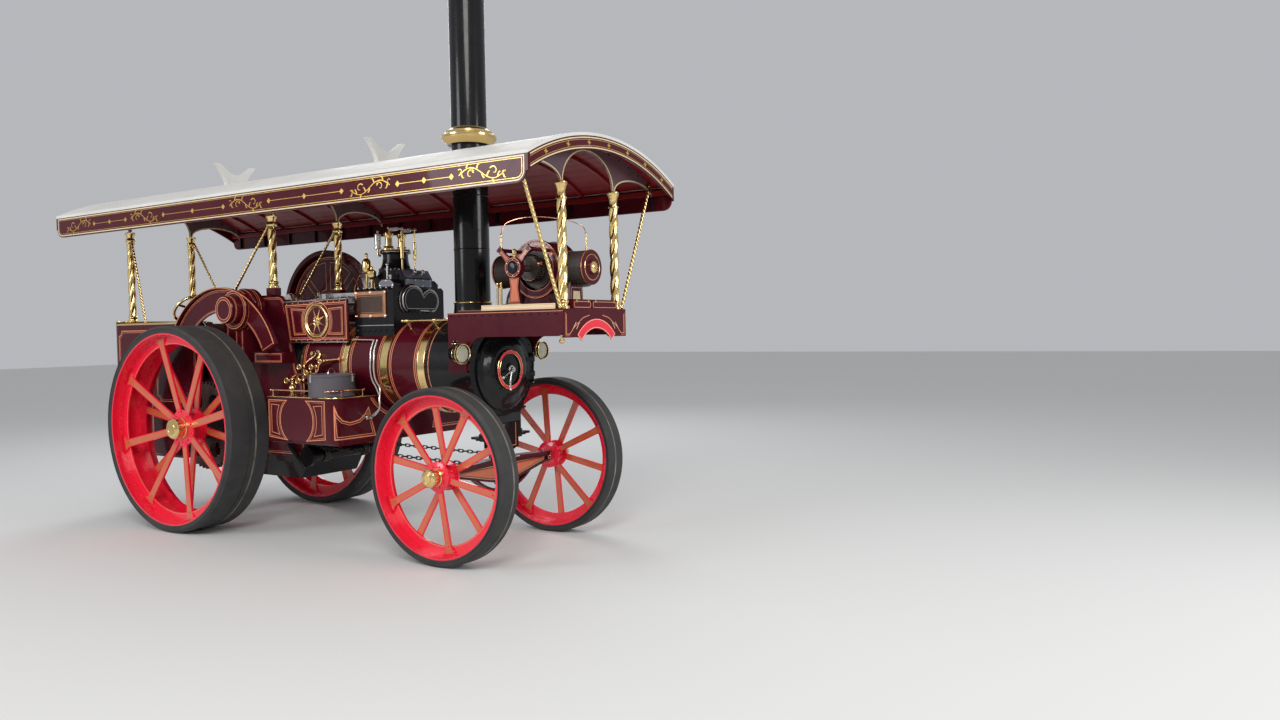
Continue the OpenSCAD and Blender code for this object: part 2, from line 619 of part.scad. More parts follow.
// Hornplates: the firebox sides carried up to hold the crankshaft
module hornplates() color("#3a0a12") at_origin() for (side = [-1, 1]) difference() {
    union() {
        plate_xz([[tender_x1, 760], [tender_x1, 1560], [-60, 1600], [-18, 1650], [0, 1740], [10, 2270],
                  [30, 2360], [90, 2420], [160, horn_top], [900, horn_top], [960, 2420], [1000, 2370],
                  [1068, 2150], [1100, 1900], [1150, 1680], [firebox_x1, 1500], [firebox_x1, 760]],
                 side * horn_y - horn_t / 2, side * horn_y + horn_t / 2);
        translate([835, side * 430, horn_top + 35]) cube([130, 80, 74], center = true);
    }
    translate([0, side * horn_y, rear_r]) rod_y(rear_axle_r + shaft_gap, 100);
    translate([crank_x, side * horn_y, crank_z]) rod_y(bearing_r + seat_gap, 100);
}

// Covers over the gearing on the right: a stepped round one, a curved splasher with a lip,
// and two boxes on the hornplate
module gear_covers() color("#4a0d18") at_origin() {
    face = horn_y + 38 + seat_gap;
    wall = tender_w / 2 + seat_gap;
    plate = horn_y + horn_t / 2 + seat_gap;
    centre = [240, rear_r + 507];
    translate([crank_x, 0, crank_z]) mirror([0, 1, 0])
        turned_y([[0, face], [225, face], [225, 560], [214, 572], [214, 584], [206, 590], [206, 666], [200, 673],
                  [142, 673], [142, 780], [134, 790], [0, 790]]);
    plate_xz([for (i = [0 : 14]) centre + 960 * [cos(148 - 9 * i), sin(148 - 9 * i)],
              for (i = [14 : -1 : 0]) centre + 700 * [cos(148 - 9 * i), sin(148 - 9 * i)]], -wall - 12, -wall);
    plate_xz([for (i = [0 : 14]) centre + 960 * [cos(148 - 9 * i), sin(148 - 9 * i)],
              for (i = [14 : -1 : 0]) centre + 946 * [cos(148 - 9 * i), sin(148 - 9 * i)]], -wall - 50, -wall - 11);
    translate([crank_x - 75, -612, 1740]) cube([150, 612 - plate, 380]);
    translate([660, -560, 1730]) cube([450, 560 - plate, 120]);
}

// Tender: an open footplate with a coal bunker over the water tank behind it, rounded at the back
module tender() color("#1b1b1d") at_origin() {
    half = tender_w / 2;
    inner = half - plate_t;
    corner = 110;
    outline = [[tender_x1, -half],
               for (i = [0 : 6]) [tender_x0 + corner - corner * sin(15 * i), -half + corner - corner * cos(15 * i)],
               for (i = [6 : -1 : 0]) [tender_x0 + corner - corner * sin(15 * i), half - corner + corner * cos(15 * i)],
               [tender_x1, half]];
    difference() {
        union() {
            translate([0, 0, 700]) linear_extrude(tender_top - 700) polygon(outline);
            intersection() {
                translate([0, 0, tender_top - 40]) linear_extrude(70) polygon(outline);
                translate([tender_x0 - 1, -half - 1, tender_top - 50]) cube([92, tender_w + 2, 90]);
            }
        }
        translate([-1250, -inner, 1000]) cube([tender_x1 + 1260, 2 * inner, 1300]);
        translate([tender_x0 + 90, -inner, 1500]) cube([-1250 - plate_t - tender_x0 - 90, 2 * inner, 900]);
        translate([-1000, 0, 1350]) cube([380, half + 10, 1000]);
        translate([-1300, -200, 1501]) cube([100, 400, 300]);
    }
    for (z = [560, 610]) difference() {
        translate([tender_x0 - 90, -90, z]) cube([600, 180, 22]);
        translate([tender_x0 - 45, 0, z - 10]) cylinder(r = 24, h = 60);
    }
    translate([tender_x0 + 120, -90, 560]) cube([390, 180, 140]);
    translate([-1500, half - 30, 430]) cube([260, 190, 18]);
    for (x = [-1500, -1260]) translate([x, half - 30, 430]) cube([20, 24, 290]);
}

// Final gear on the right hand rear wheel's hub
module final_gear() color("#2a2a2e") at_origin() on_side(-1) translate([0, 0, rear_r]) {
    y0 = tender_w / 2 + move_gap;
    y1 = rear_y - rear_w / 2 - 5;
    pitch = 360 / gear_teeth;
    difference() {
        union() {
            translate([0, y0, 0]) rotate([-90, 0, 0]) linear_extrude(y1 - y0) polygon([
                for (i = [0 : gear_teeth - 1], k = [[-30, 0], [0, 0.22], [0, 0.45], [-30, 0.67]])
                    (gear_r + k[0]) * [cos((i + k[1]) * pitch), sin((i + k[1]) * pitch)]]);
            turned_y([[0, y1 - 1], [135, y1 - 1], [135, rear_y - rear_hub_in - seat_gap],
                      [0, rear_y - rear_hub_in - seat_gap]]);
        }
        rod_y(rear_axle_r + shaft_gap, 2400);
        for (i = [0 : 5]) rotate([0, 60 * i, 0]) translate([285, (y0 + y1) / 2, 0]) rod_y(88, y1 - y0 + 20);
    }
}

module rear_axle() color("#1b1b1d") at_origin() translate([0, 0, rear_r])
    rod_y(rear_axle_r, 2 * (rear_y + rear_hub_out) - 2);

// Water tank slung under the barrel, wider than it and cut away round it, with rounded
// front corners, a rounded bottom edge and a lid that stands out
module belly_tank() {
    x0 = firebox_x1 + 40;
    x1 = 2240;
    half = 880;
    corner = 95;
    top = 1420;
    function plan(grow) = [[x0 - grow, -half - grow],
        for (i = [0 : 6]) [x1 - corner + (corner + grow) * sin(15 * i), -half + corner - (corner + grow) * cos(15 * i)],
        for (i = [6 : -1 : 0]) [x1 - corner + (corner + grow) * sin(15 * i), half - corner + (corner + grow) * cos(15 * i)],
        [x0 - grow, half + grow]];
    color("#4a0d18") at_origin() difference() {
        union() {
            intersection() {
                translate([0, 0, 900]) linear_extrude(top - 901) polygon(plan(0));
                plate_yz([[-half - 9, top + 20], for (i = [0 : 5]) [-half + 60 - 60 * cos(18 * i), 1030 - 60 * sin(18 * i)],
                          for (i = [5 : -1 : 0]) [half - 60 + 60 * cos(18 * i), 1030 - 60 * sin(18 * i)],
                          [half + 9, top + 20]], x0 - 10, x1 + 10);
            }
            translate([0, 0, top - 14]) linear_extrude(14) polygon(plan(8));
        }
        translate([0, 0, boiler_z]) rod_x(barrel_r + band_t + seat_gap, 5000);
    }
}

// Round sheet drum for the suction hose, standing on the tank's lid: rolled foot and rim, sunk lid
module hose_drum() color("dimgray") at_origin() translate([1985, -688, 1420 + seat_gap])
    rotate_extrude() polygon([[0, 0], [208, 0], [214, 6], [220, 12], [220, 20], [215, 25], [215, 196],
                              [220, 201], [220, 210], [214, 220], [204, 222], [198, 216], [196, 206],
                              [40, 208], [34, 216], [24, 221], [0, 222]]);

// Side lamps: a ribbed round body with a wide rim, a chimney on top and a bracket to the platform
module lamps() color("gold") at_origin() for (side = [-1, 1]) {
    translate([lamp_x, side * lamp_y, 1830])
        turned_x([[0, 0], [56, 0], [60, 8], [60, 16], [50, 20], [50, 28], [62, 32], [62, 40], [52, 44], [52, 52],
                  [66, 56], [70, 84], [88, 116], [90, 122], [90, 140], [80, 140], [76, 130], [0, 126]]);
    translate([lamp_x + 45, side * lamp_y, 1870]) cylinder(r = 24, h = 56);
    translate([lamp_x + 45, side * lamp_y, 1920]) cylinder(r1 = 34, r2 = 12, h = 24);
    translate([lamp_x + 15, side > 0 ? platform_half + seat_gap : -lamp_y, 1818])
        cube([36, lamp_y - platform_half - seat_gap, 24]);
}

// Steering: the inclined column, its worm wheel, and the chain roller in two brackets
module steering_column() color("#1b1b1d") at_origin() {
    bar(steer_foot, helm + (helm_hub + seat_gap) * steer_way, steer_r);
    translate([roller_x, 0, roller_z]) {
        rod_y(roller_r, 2 * (firebox_half - 4));
        rod_y(30, 2 * (horn_y - 20));
        translate([0, column_y / 2 - 100, 0]) rod_y(30, -column_y - 150);
        translate([0, column_y, 0]) rod_y(worm_r, 40);
    }
    for (side = [-1, 1]) difference() {
        plate_xz([[firebox_x1, roller_z - 20], [roller_x - 10, roller_z - 60], [roller_x + 40, roller_z - 40],
                  [roller_x + 50, roller_z + 40], [firebox_x1, roller_z + 120]],
                 side * horn_y - horn_t / 2, side * horn_y + horn_t / 2);
    }
}

module steering_wheel() color("gold") at_origin() translate(helm) rotate([0, -90 - steer_angle, 0]) {
    rotate_extrude() translate([186, 0]) circle(r = 15, $fn = 32);
    cylinder(r = 42, h = 2 * helm_hub, center = true);
    for (a = [0 : 72 : 288]) rotate([0, 0, a]) translate([0, -11, -7]) cube([182, 22, 14]);
    rotate([0, 0, 36]) translate([186, 0, 0]) cylinder(r = 12, h = 90);
}

// Chains from the roller under the boiler to the ends of the front axle: flat links set
// crosswise in turn on a common line
module steering_chains() color("dimgray") at_origin() for (side = [-1, 1]) {
    from = [roller_x, side * chain_y0, roller_z + roller_r + chain_r + 6];
    to = [wheelbase - axle_beam_w / 2 - 0.8, side * chain_y1, front_r + 30];
    d = to - from;
    links = 30;
    pitch = (norm(d) - 14) / links;
    translate(from) rotate([0, acos(d[2] / norm(d)), atan2(d[1], d[0])]) {
        cylinder(r = 5, h = norm(d), $fn = 8);
        for (i = [0 : links - 1]) translate([0, 0, 7 + (i + 0.5) * pitch]) rotate([0, 0, 90 * (i % 2)])
            rotate([90, 0, 0]) linear_extrude(11, center = true) polygon([
                [-17, -pitch * 0.42], [-9, -pitch * 0.58], [9, -pitch * 0.58], [17, -pitch * 0.42],
                [17, pitch * 0.42], [9, pitch * 0.58], [-9, pitch * 0.58], [-17, pitch * 0.42]]);
    }
}

// A scalloped frame between a pair of columns, filled up to the roof: the middle arch,
// and one to each side of it
module canopy_frame(x, half) {
    edge = canopy_w / 2 - 27;
    arches = [[-edge, -half, side_rise], [-half, half, roof_under(0) - 90 - cusp_z], [half, edge, side_rise]];
    translate([x, 0, 0]) rotate([90, 0, 90]) linear_extrude(frame_t, center = true) polygon([
        for (i = [20 : -1 : -20]) let (y = i * edge / 20) [y, roof_under(y) - 1],
        for (a = arches, i = [0 : 10])
            [(a[0] + a[1]) / 2 - (a[1] - a[0]) / 2 * cos(18 * i), cusp_z + a[2] * sin(18 * i)]]);
}

module canopy_frames() color("#4a0d18") at_origin()
    for (c = COLUMNS) canopy_frame(c[0], c[1]);

module roof_arc(outer, inner, half) intersection() {
    difference() {
        circle(r = outer, $fn = 200);
        circle(r = inner, $fn = 200);
    }
    translate([-half, 0]) square([2 * half, outer + 10]);
}

module canopy_roof() color("white") at_origin() difference() {
    translate([canopy_x0, 0, roof_centre_z]) rotate([90, 0, 90]) linear_extrude(canopy_x1 - canopy_x0)
        roof_arc(roof_r, roof_r - roof_t, canopy_w / 2);
    translate([chimney_x, 0, 3000]) cylinder(r = chimney_r + 45, h = 1000);
}

// Fascia: a board along each side with rounded lower corners, and a curved one at each end
module canopy_fascia() color("#4a0d18") at_origin() {
    t = 22;
    corner = 90;
    half = canopy_w / 2;
    edge_z = roof_centre_z + sqrt(pow(roof_r - roof_t, 2) - half * half) - 1;
    low = edge_z - fascia_h;
    x0 = canopy_x0 + t - 1;
    x1 = canopy_x1 - t + 1;
    for (side = [-1, 1]) plate_xz([[x0, edge_z],
        for (i = [0 : 6]) [x0 + corner * (1 - cos(15 * i)), low + corner * (1 - sin(15 * i))],
        for (i = [6 : -1 : 0]) [x1 - corner * (1 - cos(15 * i)), low + corner * (1 - sin(15 * i))],
        [x1, edge_z]], side > 0 ? half - t : -half, side > 0 ? half : -half + t);
    for (x = [canopy_x0, canopy_x1 - t])
        translate([x, 0, roof_centre_z]) rotate([90, 0, 90]) linear_extrude(t)
            roof_arc(roof_r - roof_t - 1, roof_r - roof_t - 115, half);
}

// Columns: ringed foot, three twisted lobes, a plain neck for the stay's collar, a vase capital
module canopy_columns() color("gold") at_origin() for (c = COLUMNS, side = [-1, 1])
    translate([c[0], side * c[1], c[2]]) {
        h = cusp_z - seat_gap - c[2];
        twist_h = h - 74 - 140;
        lobe = column_r - neck_r;
        rotate_extrude() polygon([[0, 0], [column_r + 13, 0], [column_r + 13, 22], [column_r + 2, 30],
            [column_r + 2, 46], [column_r + 8, 52], [column_r + 8, 64], [column_r - 4, 74], [0, 76]]);
        translate([0, 0, 72]) linear_extrude(twist_h + 4, twist = -360 * twist_h / 330,
                                             slices = ceil(twist_h / 330 * 15), $fn = 15)
            polygon([for (i = [0 : 14]) (neck_r + lobe * cos(72 * i)) * [cos(24 * i), sin(24 * i)]]);
        translate([0, 0, h]) rotate_extrude() polygon([[0, -142], [column_r - 4, -142], [column_r + 6, -136],
            [column_r + 6, -126], [neck_r, -122], [neck_r, -60], [column_r + 2, -44], [column_r + 13, -22],
            [column_r + 13, 0], [0, 0]]);
    }

// Stays: the front pair splays out to the canopy's edge, the others run down from collars
module canopy_stays() color("gold") at_origin() for (side = [-1, 1]) {
    bar([COLUMNS[0][0] + frame_t / 2 + 17 + seat_gap, side * 472, platform_top + 8],
        [COLUMNS[0][0] + frame_t / 2 + 17 + seat_gap, side * 1012, 3400], 17);
    stay_collar(COLUMNS[1], side, [60, side * (horn_y + horn_t / 2 + 15.5), 2340]);
    stay_collar(COLUMNS[2], side, [-1270, side * 560, tender_top + 12]);
}

// A collar round a column's neck, and the bar from it down to a point
module stay_collar(c, side, foot) {
    top = [c[0], side * c[1], cusp_z - 112];
    out = [foot[0] - c[0], foot[1] - side * c[1], 0];
    difference() {
        union() {
            translate(top) cylinder(r = neck_r + 16, h = 40);
            bar(top + [0, 0, 20] + out * (neck_r + 12) / norm(out), foot, 14);
        }
        translate([c[0], side * c[1], cusp_z - 124]) cylinder(r = neck_r + seat_gap, h = 62);
        translate([c[0], side * c[1], cusp_z - 62.5]) cylinder(r = column_r + 14, h = 62);
    }
}

// Horned carriers that hold the lowered chimney extension on the roof
module chimney_cradles() color("white") at_origin() for (x = [2060, -350])
    translate([x, 0, 0]) rotate([90, 0, 90]) linear_extrude(60, center = true) polygon([
        for (i = [-4 : 4]) [-i * 28, roof_over(i * 28) + seat_gap],
        for (i = [1 : 5]) [-112 - 140 * pow(i / 5, 1.7), crown_z + 20 + 250 * i / 5],
        [-205, crown_z + 276], for (i = [-5 : 5]) [180 * sin(9 * i), crown_z + 345 - 180 * cos(9 * i)],
        [205, crown_z + 276], for (i = [5 : -1 : 1]) [112 + 140 * pow(i / 5, 1.7), crown_z + 20 + 250 * i / 5]]);

// Regulator, firehole and gauges on the backhead, and the reversing lever in its quadrant
module footplate_controls() color("silver") at_origin() {
    face = firebox_x0 - seat_gap;
    translate([face - 150, 0, 1960]) rod_x(20, 150);
    translate([face - 140, 0, 1960]) rotate([20, 0, 0]) translate([0, -150, 0]) rotate([-90, 0, 0])
        cylinder(r = 13, h = 300);
    translate([face, 0, 1420]) mirror([1, 0, 0]) turned_x([[0, 0], [175, 0], [175, 22], [150, 26], [140, 46], [0, 50]]);
    for (side = [-1, 1]) translate([face - 60, side * 190, 1700]) {
        cylinder(r = 14, h = 240);
        for (z = [10, 210]) translate([0, 0, z]) rod_x(16, 60);
    }
    translate([face, -230, 2000]) mirror([1, 0, 0]) turned_x([[0, 0], [20, 0], [20, 30], [62, 32], [62, 60], [0, 60]]);
    lever_y = firebox_half - 20 - seat_gap;
    bar([170, lever_y, 1700], [-20, lever_y, 2380], 13);
    plate_xz([for (i = [0 : 8]) [170 + 420 * sin(-50 + 8 * i), 1700 + 420 * cos(-50 + 8 * i)],
              for (i = [8 : -1 : 0]) [170 + 370 * sin(-50 + 8 * i), 1700 + 370 * cos(-50 + 8 * i)]],
             lever_y + 5, lever_y + 20);
}

boiler();
boiler_bands();
firebox();
smokebox();
smokebox_door();
chimney();
chimney_extension();
perch_bracket();
dynamo_platform();
dynamo();
dynamo_armature();
cylinder_block();
cylinder_cover();
safety_valves();
motion_covers();
motion();
crankshaft_bearings();
flywheel();
hornplates();
gear_covers();
tender();
rear_axle();
belly_tank();
hose_drum();
front_axle();
steering_column();
steering_wheel();
steering_chains();
lamps();
rear_wheel(-1);  // rear_wheel_right
rear_wheel(1);  // rear_wheel_left
rear_tyre(-1);  // rear_tyre_right
rear_tyre(1);  // rear_tyre_left
rear_hub_cap(-1);  // rear_hub_cap_right
rear_hub_cap(1);  // rear_hub_cap_left
front_wheel(-1);  // front_wheel_right
front_wheel(1);  // front_wheel_left
front_tyre(-1);  // front_tyre_right
front_tyre(1);  // front_tyre_left
front_hub_cap(-1);  // front_hub_cap_right
front_hub_cap(1);  // front_hub_cap_left
canopy_roof();
canopy_fascia();
canopy_frames();
canopy_columns();
canopy_stays();
chimney_cradles();
footplate_controls();
final_gear();
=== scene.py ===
"""Looks of the showman's steam traction engine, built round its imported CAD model."""
import math
import random
from collections import namedtuple
import bmesh
import bpy
from mathutils import Matrix, Vector


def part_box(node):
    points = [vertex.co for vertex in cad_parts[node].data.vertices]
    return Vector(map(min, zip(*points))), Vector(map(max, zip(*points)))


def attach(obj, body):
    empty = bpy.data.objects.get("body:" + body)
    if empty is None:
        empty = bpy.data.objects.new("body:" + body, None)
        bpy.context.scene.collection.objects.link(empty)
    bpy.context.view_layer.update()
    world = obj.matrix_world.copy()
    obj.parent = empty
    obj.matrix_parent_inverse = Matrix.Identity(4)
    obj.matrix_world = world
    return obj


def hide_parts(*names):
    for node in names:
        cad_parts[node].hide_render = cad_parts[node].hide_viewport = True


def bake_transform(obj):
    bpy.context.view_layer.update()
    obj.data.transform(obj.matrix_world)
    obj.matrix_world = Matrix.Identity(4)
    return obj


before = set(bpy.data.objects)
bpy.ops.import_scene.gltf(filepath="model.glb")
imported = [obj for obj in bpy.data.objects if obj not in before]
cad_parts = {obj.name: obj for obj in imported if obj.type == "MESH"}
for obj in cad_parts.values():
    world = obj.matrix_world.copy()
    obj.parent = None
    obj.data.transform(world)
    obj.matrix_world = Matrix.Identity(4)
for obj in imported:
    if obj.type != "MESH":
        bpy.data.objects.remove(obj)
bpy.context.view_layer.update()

random.seed(7)

# Sizes shared with the CAD, in metres from the rear axle: X forward, Y to the left, Z up
SHIFT = 1.3825          # the rear axle lies this far behind the origin
REAR_R, REAR_Y, REAR_RIM = 1.068, 0.927, 0.977
WHEELBASE, FRONT_R, FRONT_Y, FRONT_RIM = 3.490, 0.775, 0.805, 0.696
BOILER_Z, BARREL_R, BARREL_END = 1.705, 0.450, 2.978
BANDS = ((1.872, 1.942), (2.398, 2.488), (2.880, 2.970))
CRANK = (0.500, 2.290)
CANOPY_X0, CANOPY_X1, CANOPY_HALF = -1.990, 4.755, 1.130
CROWN_Z, ROOF_R, ROOF_T = 3.685, 2.420, 0.025
ROOF_CZ, UNDER_R = CROWN_Z - ROOF_R, ROOF_R - ROOF_T
CUSP_Z = 3.265
# Each pair of columns: x, y on either side, and the height of the foot
COLUMNS = [(4.530, 0.400, 2.205), (0.835, 0.430, 2.512), (-1.810, 0.390, 2.200)]
DX, DZ = 4.050, 2.570   # the dynamo's shaft
DOOR_Z, DOOR_X = 1.665, 3.530
CHIMNEY_X = 3.180
AHEAD, BACK, LEFT, RIGHT, UP = (1, 0, 0), (-1, 0, 0), (0, 1, 0), (0, -1, 0), (0, 0, 1)
WHOLE_TURN = 359.9      # degrees, less a little for rounding
SIDES = ((-1, "right"), (1, "left"))


# Places and outlines
def at(x, y, z):
    """A place measured from the rear axle, in the frame's own coordinates."""
    return Vector((x - SHIFT, y, z))


def polar(degrees):
    """Cosine and sine of an angle."""
    return math.cos(math.radians(degrees)), math.sin(math.radians(degrees))


def around(n, phase=0.0):
    """Cosine and sine of n even steps round a circle; phase is a part of one step."""
    return [polar((i + phase) * 360 / n) for i in range(n)]


def spaced(a, b, n):
    """The ends of n even steps from a to b."""
    return [a + (b - a) * i / n for i in range(n + 1)]


def circle(cu, cv, r, n=64, a0=0, a1=360):
    """Pairs (u, v) round a circle, or along its arc from a0 to a1 degrees."""
    angles = spaced(a0, a1, n)
    if a1 - a0 > WHOLE_TURN:
        angles.pop()
    return [(cu + r * c, cv + r * s) for c, s in map(polar, angles)]


def on_x(points, x):
    return [at(x, u, v) for u, v in points]


def on_y(points, y):
    return [at(u, y, v) for u, v in points]


def on_z(points, z):
    return [at(u, v, z) for u, v in points]


def mirrored(points, side):
    """Pairs with their first number turned to one side."""
    return [(side * u, v) for u, v in points]


def rectangle(u0, u1, v0, v1):
    return [(u0, v0), (u1, v0), (u1, v1), (u0, v1)]


def inset(points, d):
    """A closed outline of (u, v) pairs moved inwards by d."""
    pts = [Vector(p) for p in points]
    n = len(pts)
    area = sum(pts[i - 1].x * pts[i].y - pts[i].x * pts[i - 1].y for i in range(n))
    sign = 1 if area > 0 else -1
    out = []
    for i, b in enumerate(pts):
        before, after = b - pts[i - 1], pts[(i + 1) % n] - b
        n0 = Vector((-before.y, before.x)).normalized() * sign
        n1 = Vector((-after.y, after.x)).normalized() * sign
        m = n0 + n1
        m = m / max(0.3, m.dot(n0)) if m.length > 1e-6 else n0
        out.append(tuple(b + m * d))
    return out


def scooped(u0, u1, v0, v1, r, n=5):
    """A rectangle of (u, v) pairs with hollow corners."""
    out = []
    for cu, cv in rectangle(u0, u1, v0, v1):
        su, sv = (1 if cu == u0 else -1), (1 if cv == v0 else -1)
        for c, s in map(polar, spaced(0, 90, n)):
            u, v = (s, c) if su == sv else (c, s)
            out.append((cu + su * r * u, cv + sv * r * v))
    return out


def smooth_path(points, steps=6):
    """A Catmull-Rom curve through points."""
    pts = [Vector(p) for p in points]
    out = []
    for i in range(len(pts) - 1):
        p0, p1 = pts[max(i - 1, 0)], pts[i]
        p2, p3 = pts[i + 1], pts[min(i + 2, len(pts) - 1)]
        for k in range(steps):
            t = k / steps
            out.append(0.5 * ((2 * p1) + (p2 - p0) * t + (2 * p0 - 5 * p1 + 4 * p2 - p3) * t * t
                              + (3 * p1 - p0 - 3 * p2 + p3) * t ** 3))
    out.append(pts[-1])
    return out


def roof_z(y, r=UNDER_R):
    """Height of the roof at y: its underside, or the arc of radius r round the same centre."""
    return ROOF_CZ + math.sqrt(r * r - y * y)


# Camera
def camera():
    """The photograph's viewpoint: place, heading, pitch, roll and lens."""
    data = bpy.data.cameras.new("camera")
    data.sensor_width, data.lens, data.clip_end = 36.0, 26.383, 200.0
    obj = bpy.data.objects.new("camera", data)
    bpy.context.scene.collection.objects.link(obj)
    heading, pitch, roll = 121.4193, -1.9898, math.radians(-0.9885)
    obj.location = at(9.1914, -6.8102, 2.036)
    (c, s), (level, climb) = polar(heading), polar(pitch)
    turn = Vector((c * level, s * level, climb)).to_track_quat("-Z", "Y").to_matrix().to_4x4()
    obj.matrix_world = Matrix.Translation(obj.location) @ turn @ Matrix.Rotation(roll, 4, "Z")
    bpy.context.scene.camera = obj


camera()


# Materials
def new_material(name, **values):
    """A material with values for the shader's named inputs."""
    mat = bpy.data.materials.new(name)
    mat.use_nodes = True
    shader = mat.node_tree.nodes["Principled BSDF"]
    for key, value in values.items():
        shader.inputs[key.replace("_", " ")].default_value = value
    return mat, mat.node_tree, shader


def add_relief(tree, height, source, shader):
    """Fine unevenness of the surface, from a noise node's output."""
    relief = tree.nodes.new("ShaderNodeBump")
    relief.inputs["Distance"].default_value = height
    tree.links.new(source, relief.inputs["Height"])
    tree.links.new(relief.outputs["Normal"], shader.inputs["Normal"])


def make_material(name, color, other, rough, patch=3.0, sharp=0.25, relief=None, coat=(0.0, 0.04), dust=None,
                  metal=0.0, stretch=(1, 1, 1), specular=0.5):
    """A surface with two colours in patches, uneven gloss, fine relief, and dust on what faces up.

    rough is (least, most), relief (height, scale), coat (weight, roughness) and dust (colour, amount)."""
    mat, tree, shader = new_material(name, Base_Color=(*color, 1), Roughness=rough[0], Metallic=metal,
                                     Coat_Weight=coat[0], Coat_Roughness=coat[1], Specular_IOR_Level=specular)
    nodes, links = tree.nodes, tree.links
    coords = nodes.new("ShaderNodeTexCoord")
    place = nodes.new("ShaderNodeMapping")
    place.inputs["Scale"].default_value = stretch
    links.new(coords.outputs["Object"], place.inputs["Vector"])

    def noise(scale, detail=5.0, roughness=0.55):
        n = nodes.new("ShaderNodeTexNoise")
        n.inputs["Scale"].default_value = scale
        n.inputs["Detail"].default_value = detail
        n.inputs["Roughness"].default_value = roughness
        links.new(place.outputs[0], n.inputs["Vector"])
        return n.outputs["Fac"]

    def mapped(source, **values):
        n = nodes.new("ShaderNodeMapRange")
        for key, value in values.items():
            n.inputs[key.replace("_", " ")].default_value = value
        links.new(source, n.inputs["Value"])
        return n.outputs["Result"]

    def mixed(a, b, factor):
        n = nodes.new("ShaderNodeMix")
        n.data_type = "RGBA"
        n.inputs["B"].default_value = (*b, 1)
        if isinstance(a, tuple):
            n.inputs["A"].default_value = (*a, 1)
        else:
            links.new(a, n.inputs["A"])
        links.new(factor, n.inputs["Factor"])
        return n.outputs["Result"]

    tint = mixed(color, other, mapped(noise(patch), From_Min=0.5 - sharp, From_Max=0.5 + sharp))
    if dust:
        split = nodes.new("ShaderNodeSeparateXYZ")
        links.new(nodes.new("ShaderNodeNewGeometry").outputs["Normal"], split.inputs["Vector"])
        amount = nodes.new("ShaderNodeMath")
        amount.operation = "MULTIPLY"
        links.new(mapped(split.outputs["Z"], From_Min=0.1, From_Max=1.0, To_Max=dust[1]), amount.inputs[0])
        links.new(noise(9.0, 6.0, 0.65), amount.inputs[1])
        tint = mixed(tint, dust[0], amount.outputs["Value"])
    links.new(tint, shader.inputs["Base Color"])
    gloss = mapped(noise(patch * 2.3, 7.0, 0.6), From_Min=0.35, From_Max=0.7, To_Min=rough[0],
                   To_Max=rough[1])
    links.new(gloss, shader.inputs["Roughness"])
    if relief:
        add_relief(tree, relief[0], noise(relief[1], 4.0, 0.5), shader)
    return mat


def make_glass():
    """Lamp and gauge glass, with waves in its surface."""
    mat, tree, shader = new_material("glass", Base_Color=(0.88, 0.84, 0.66, 1), Roughness=0.03,
                                     Transmission_Weight=0.55, Coat_Weight=1.0)
    coords = tree.nodes.new("ShaderNodeTexCoord")
    wave = tree.nodes.new("ShaderNodeTexNoise")
    wave.inputs["Scale"].default_value = 60.0
    tree.links.new(coords.outputs["Object"], wave.inputs["Vector"])
    add_relief(tree, 0.0008, wave.outputs["Fac"], shader)
    return mat


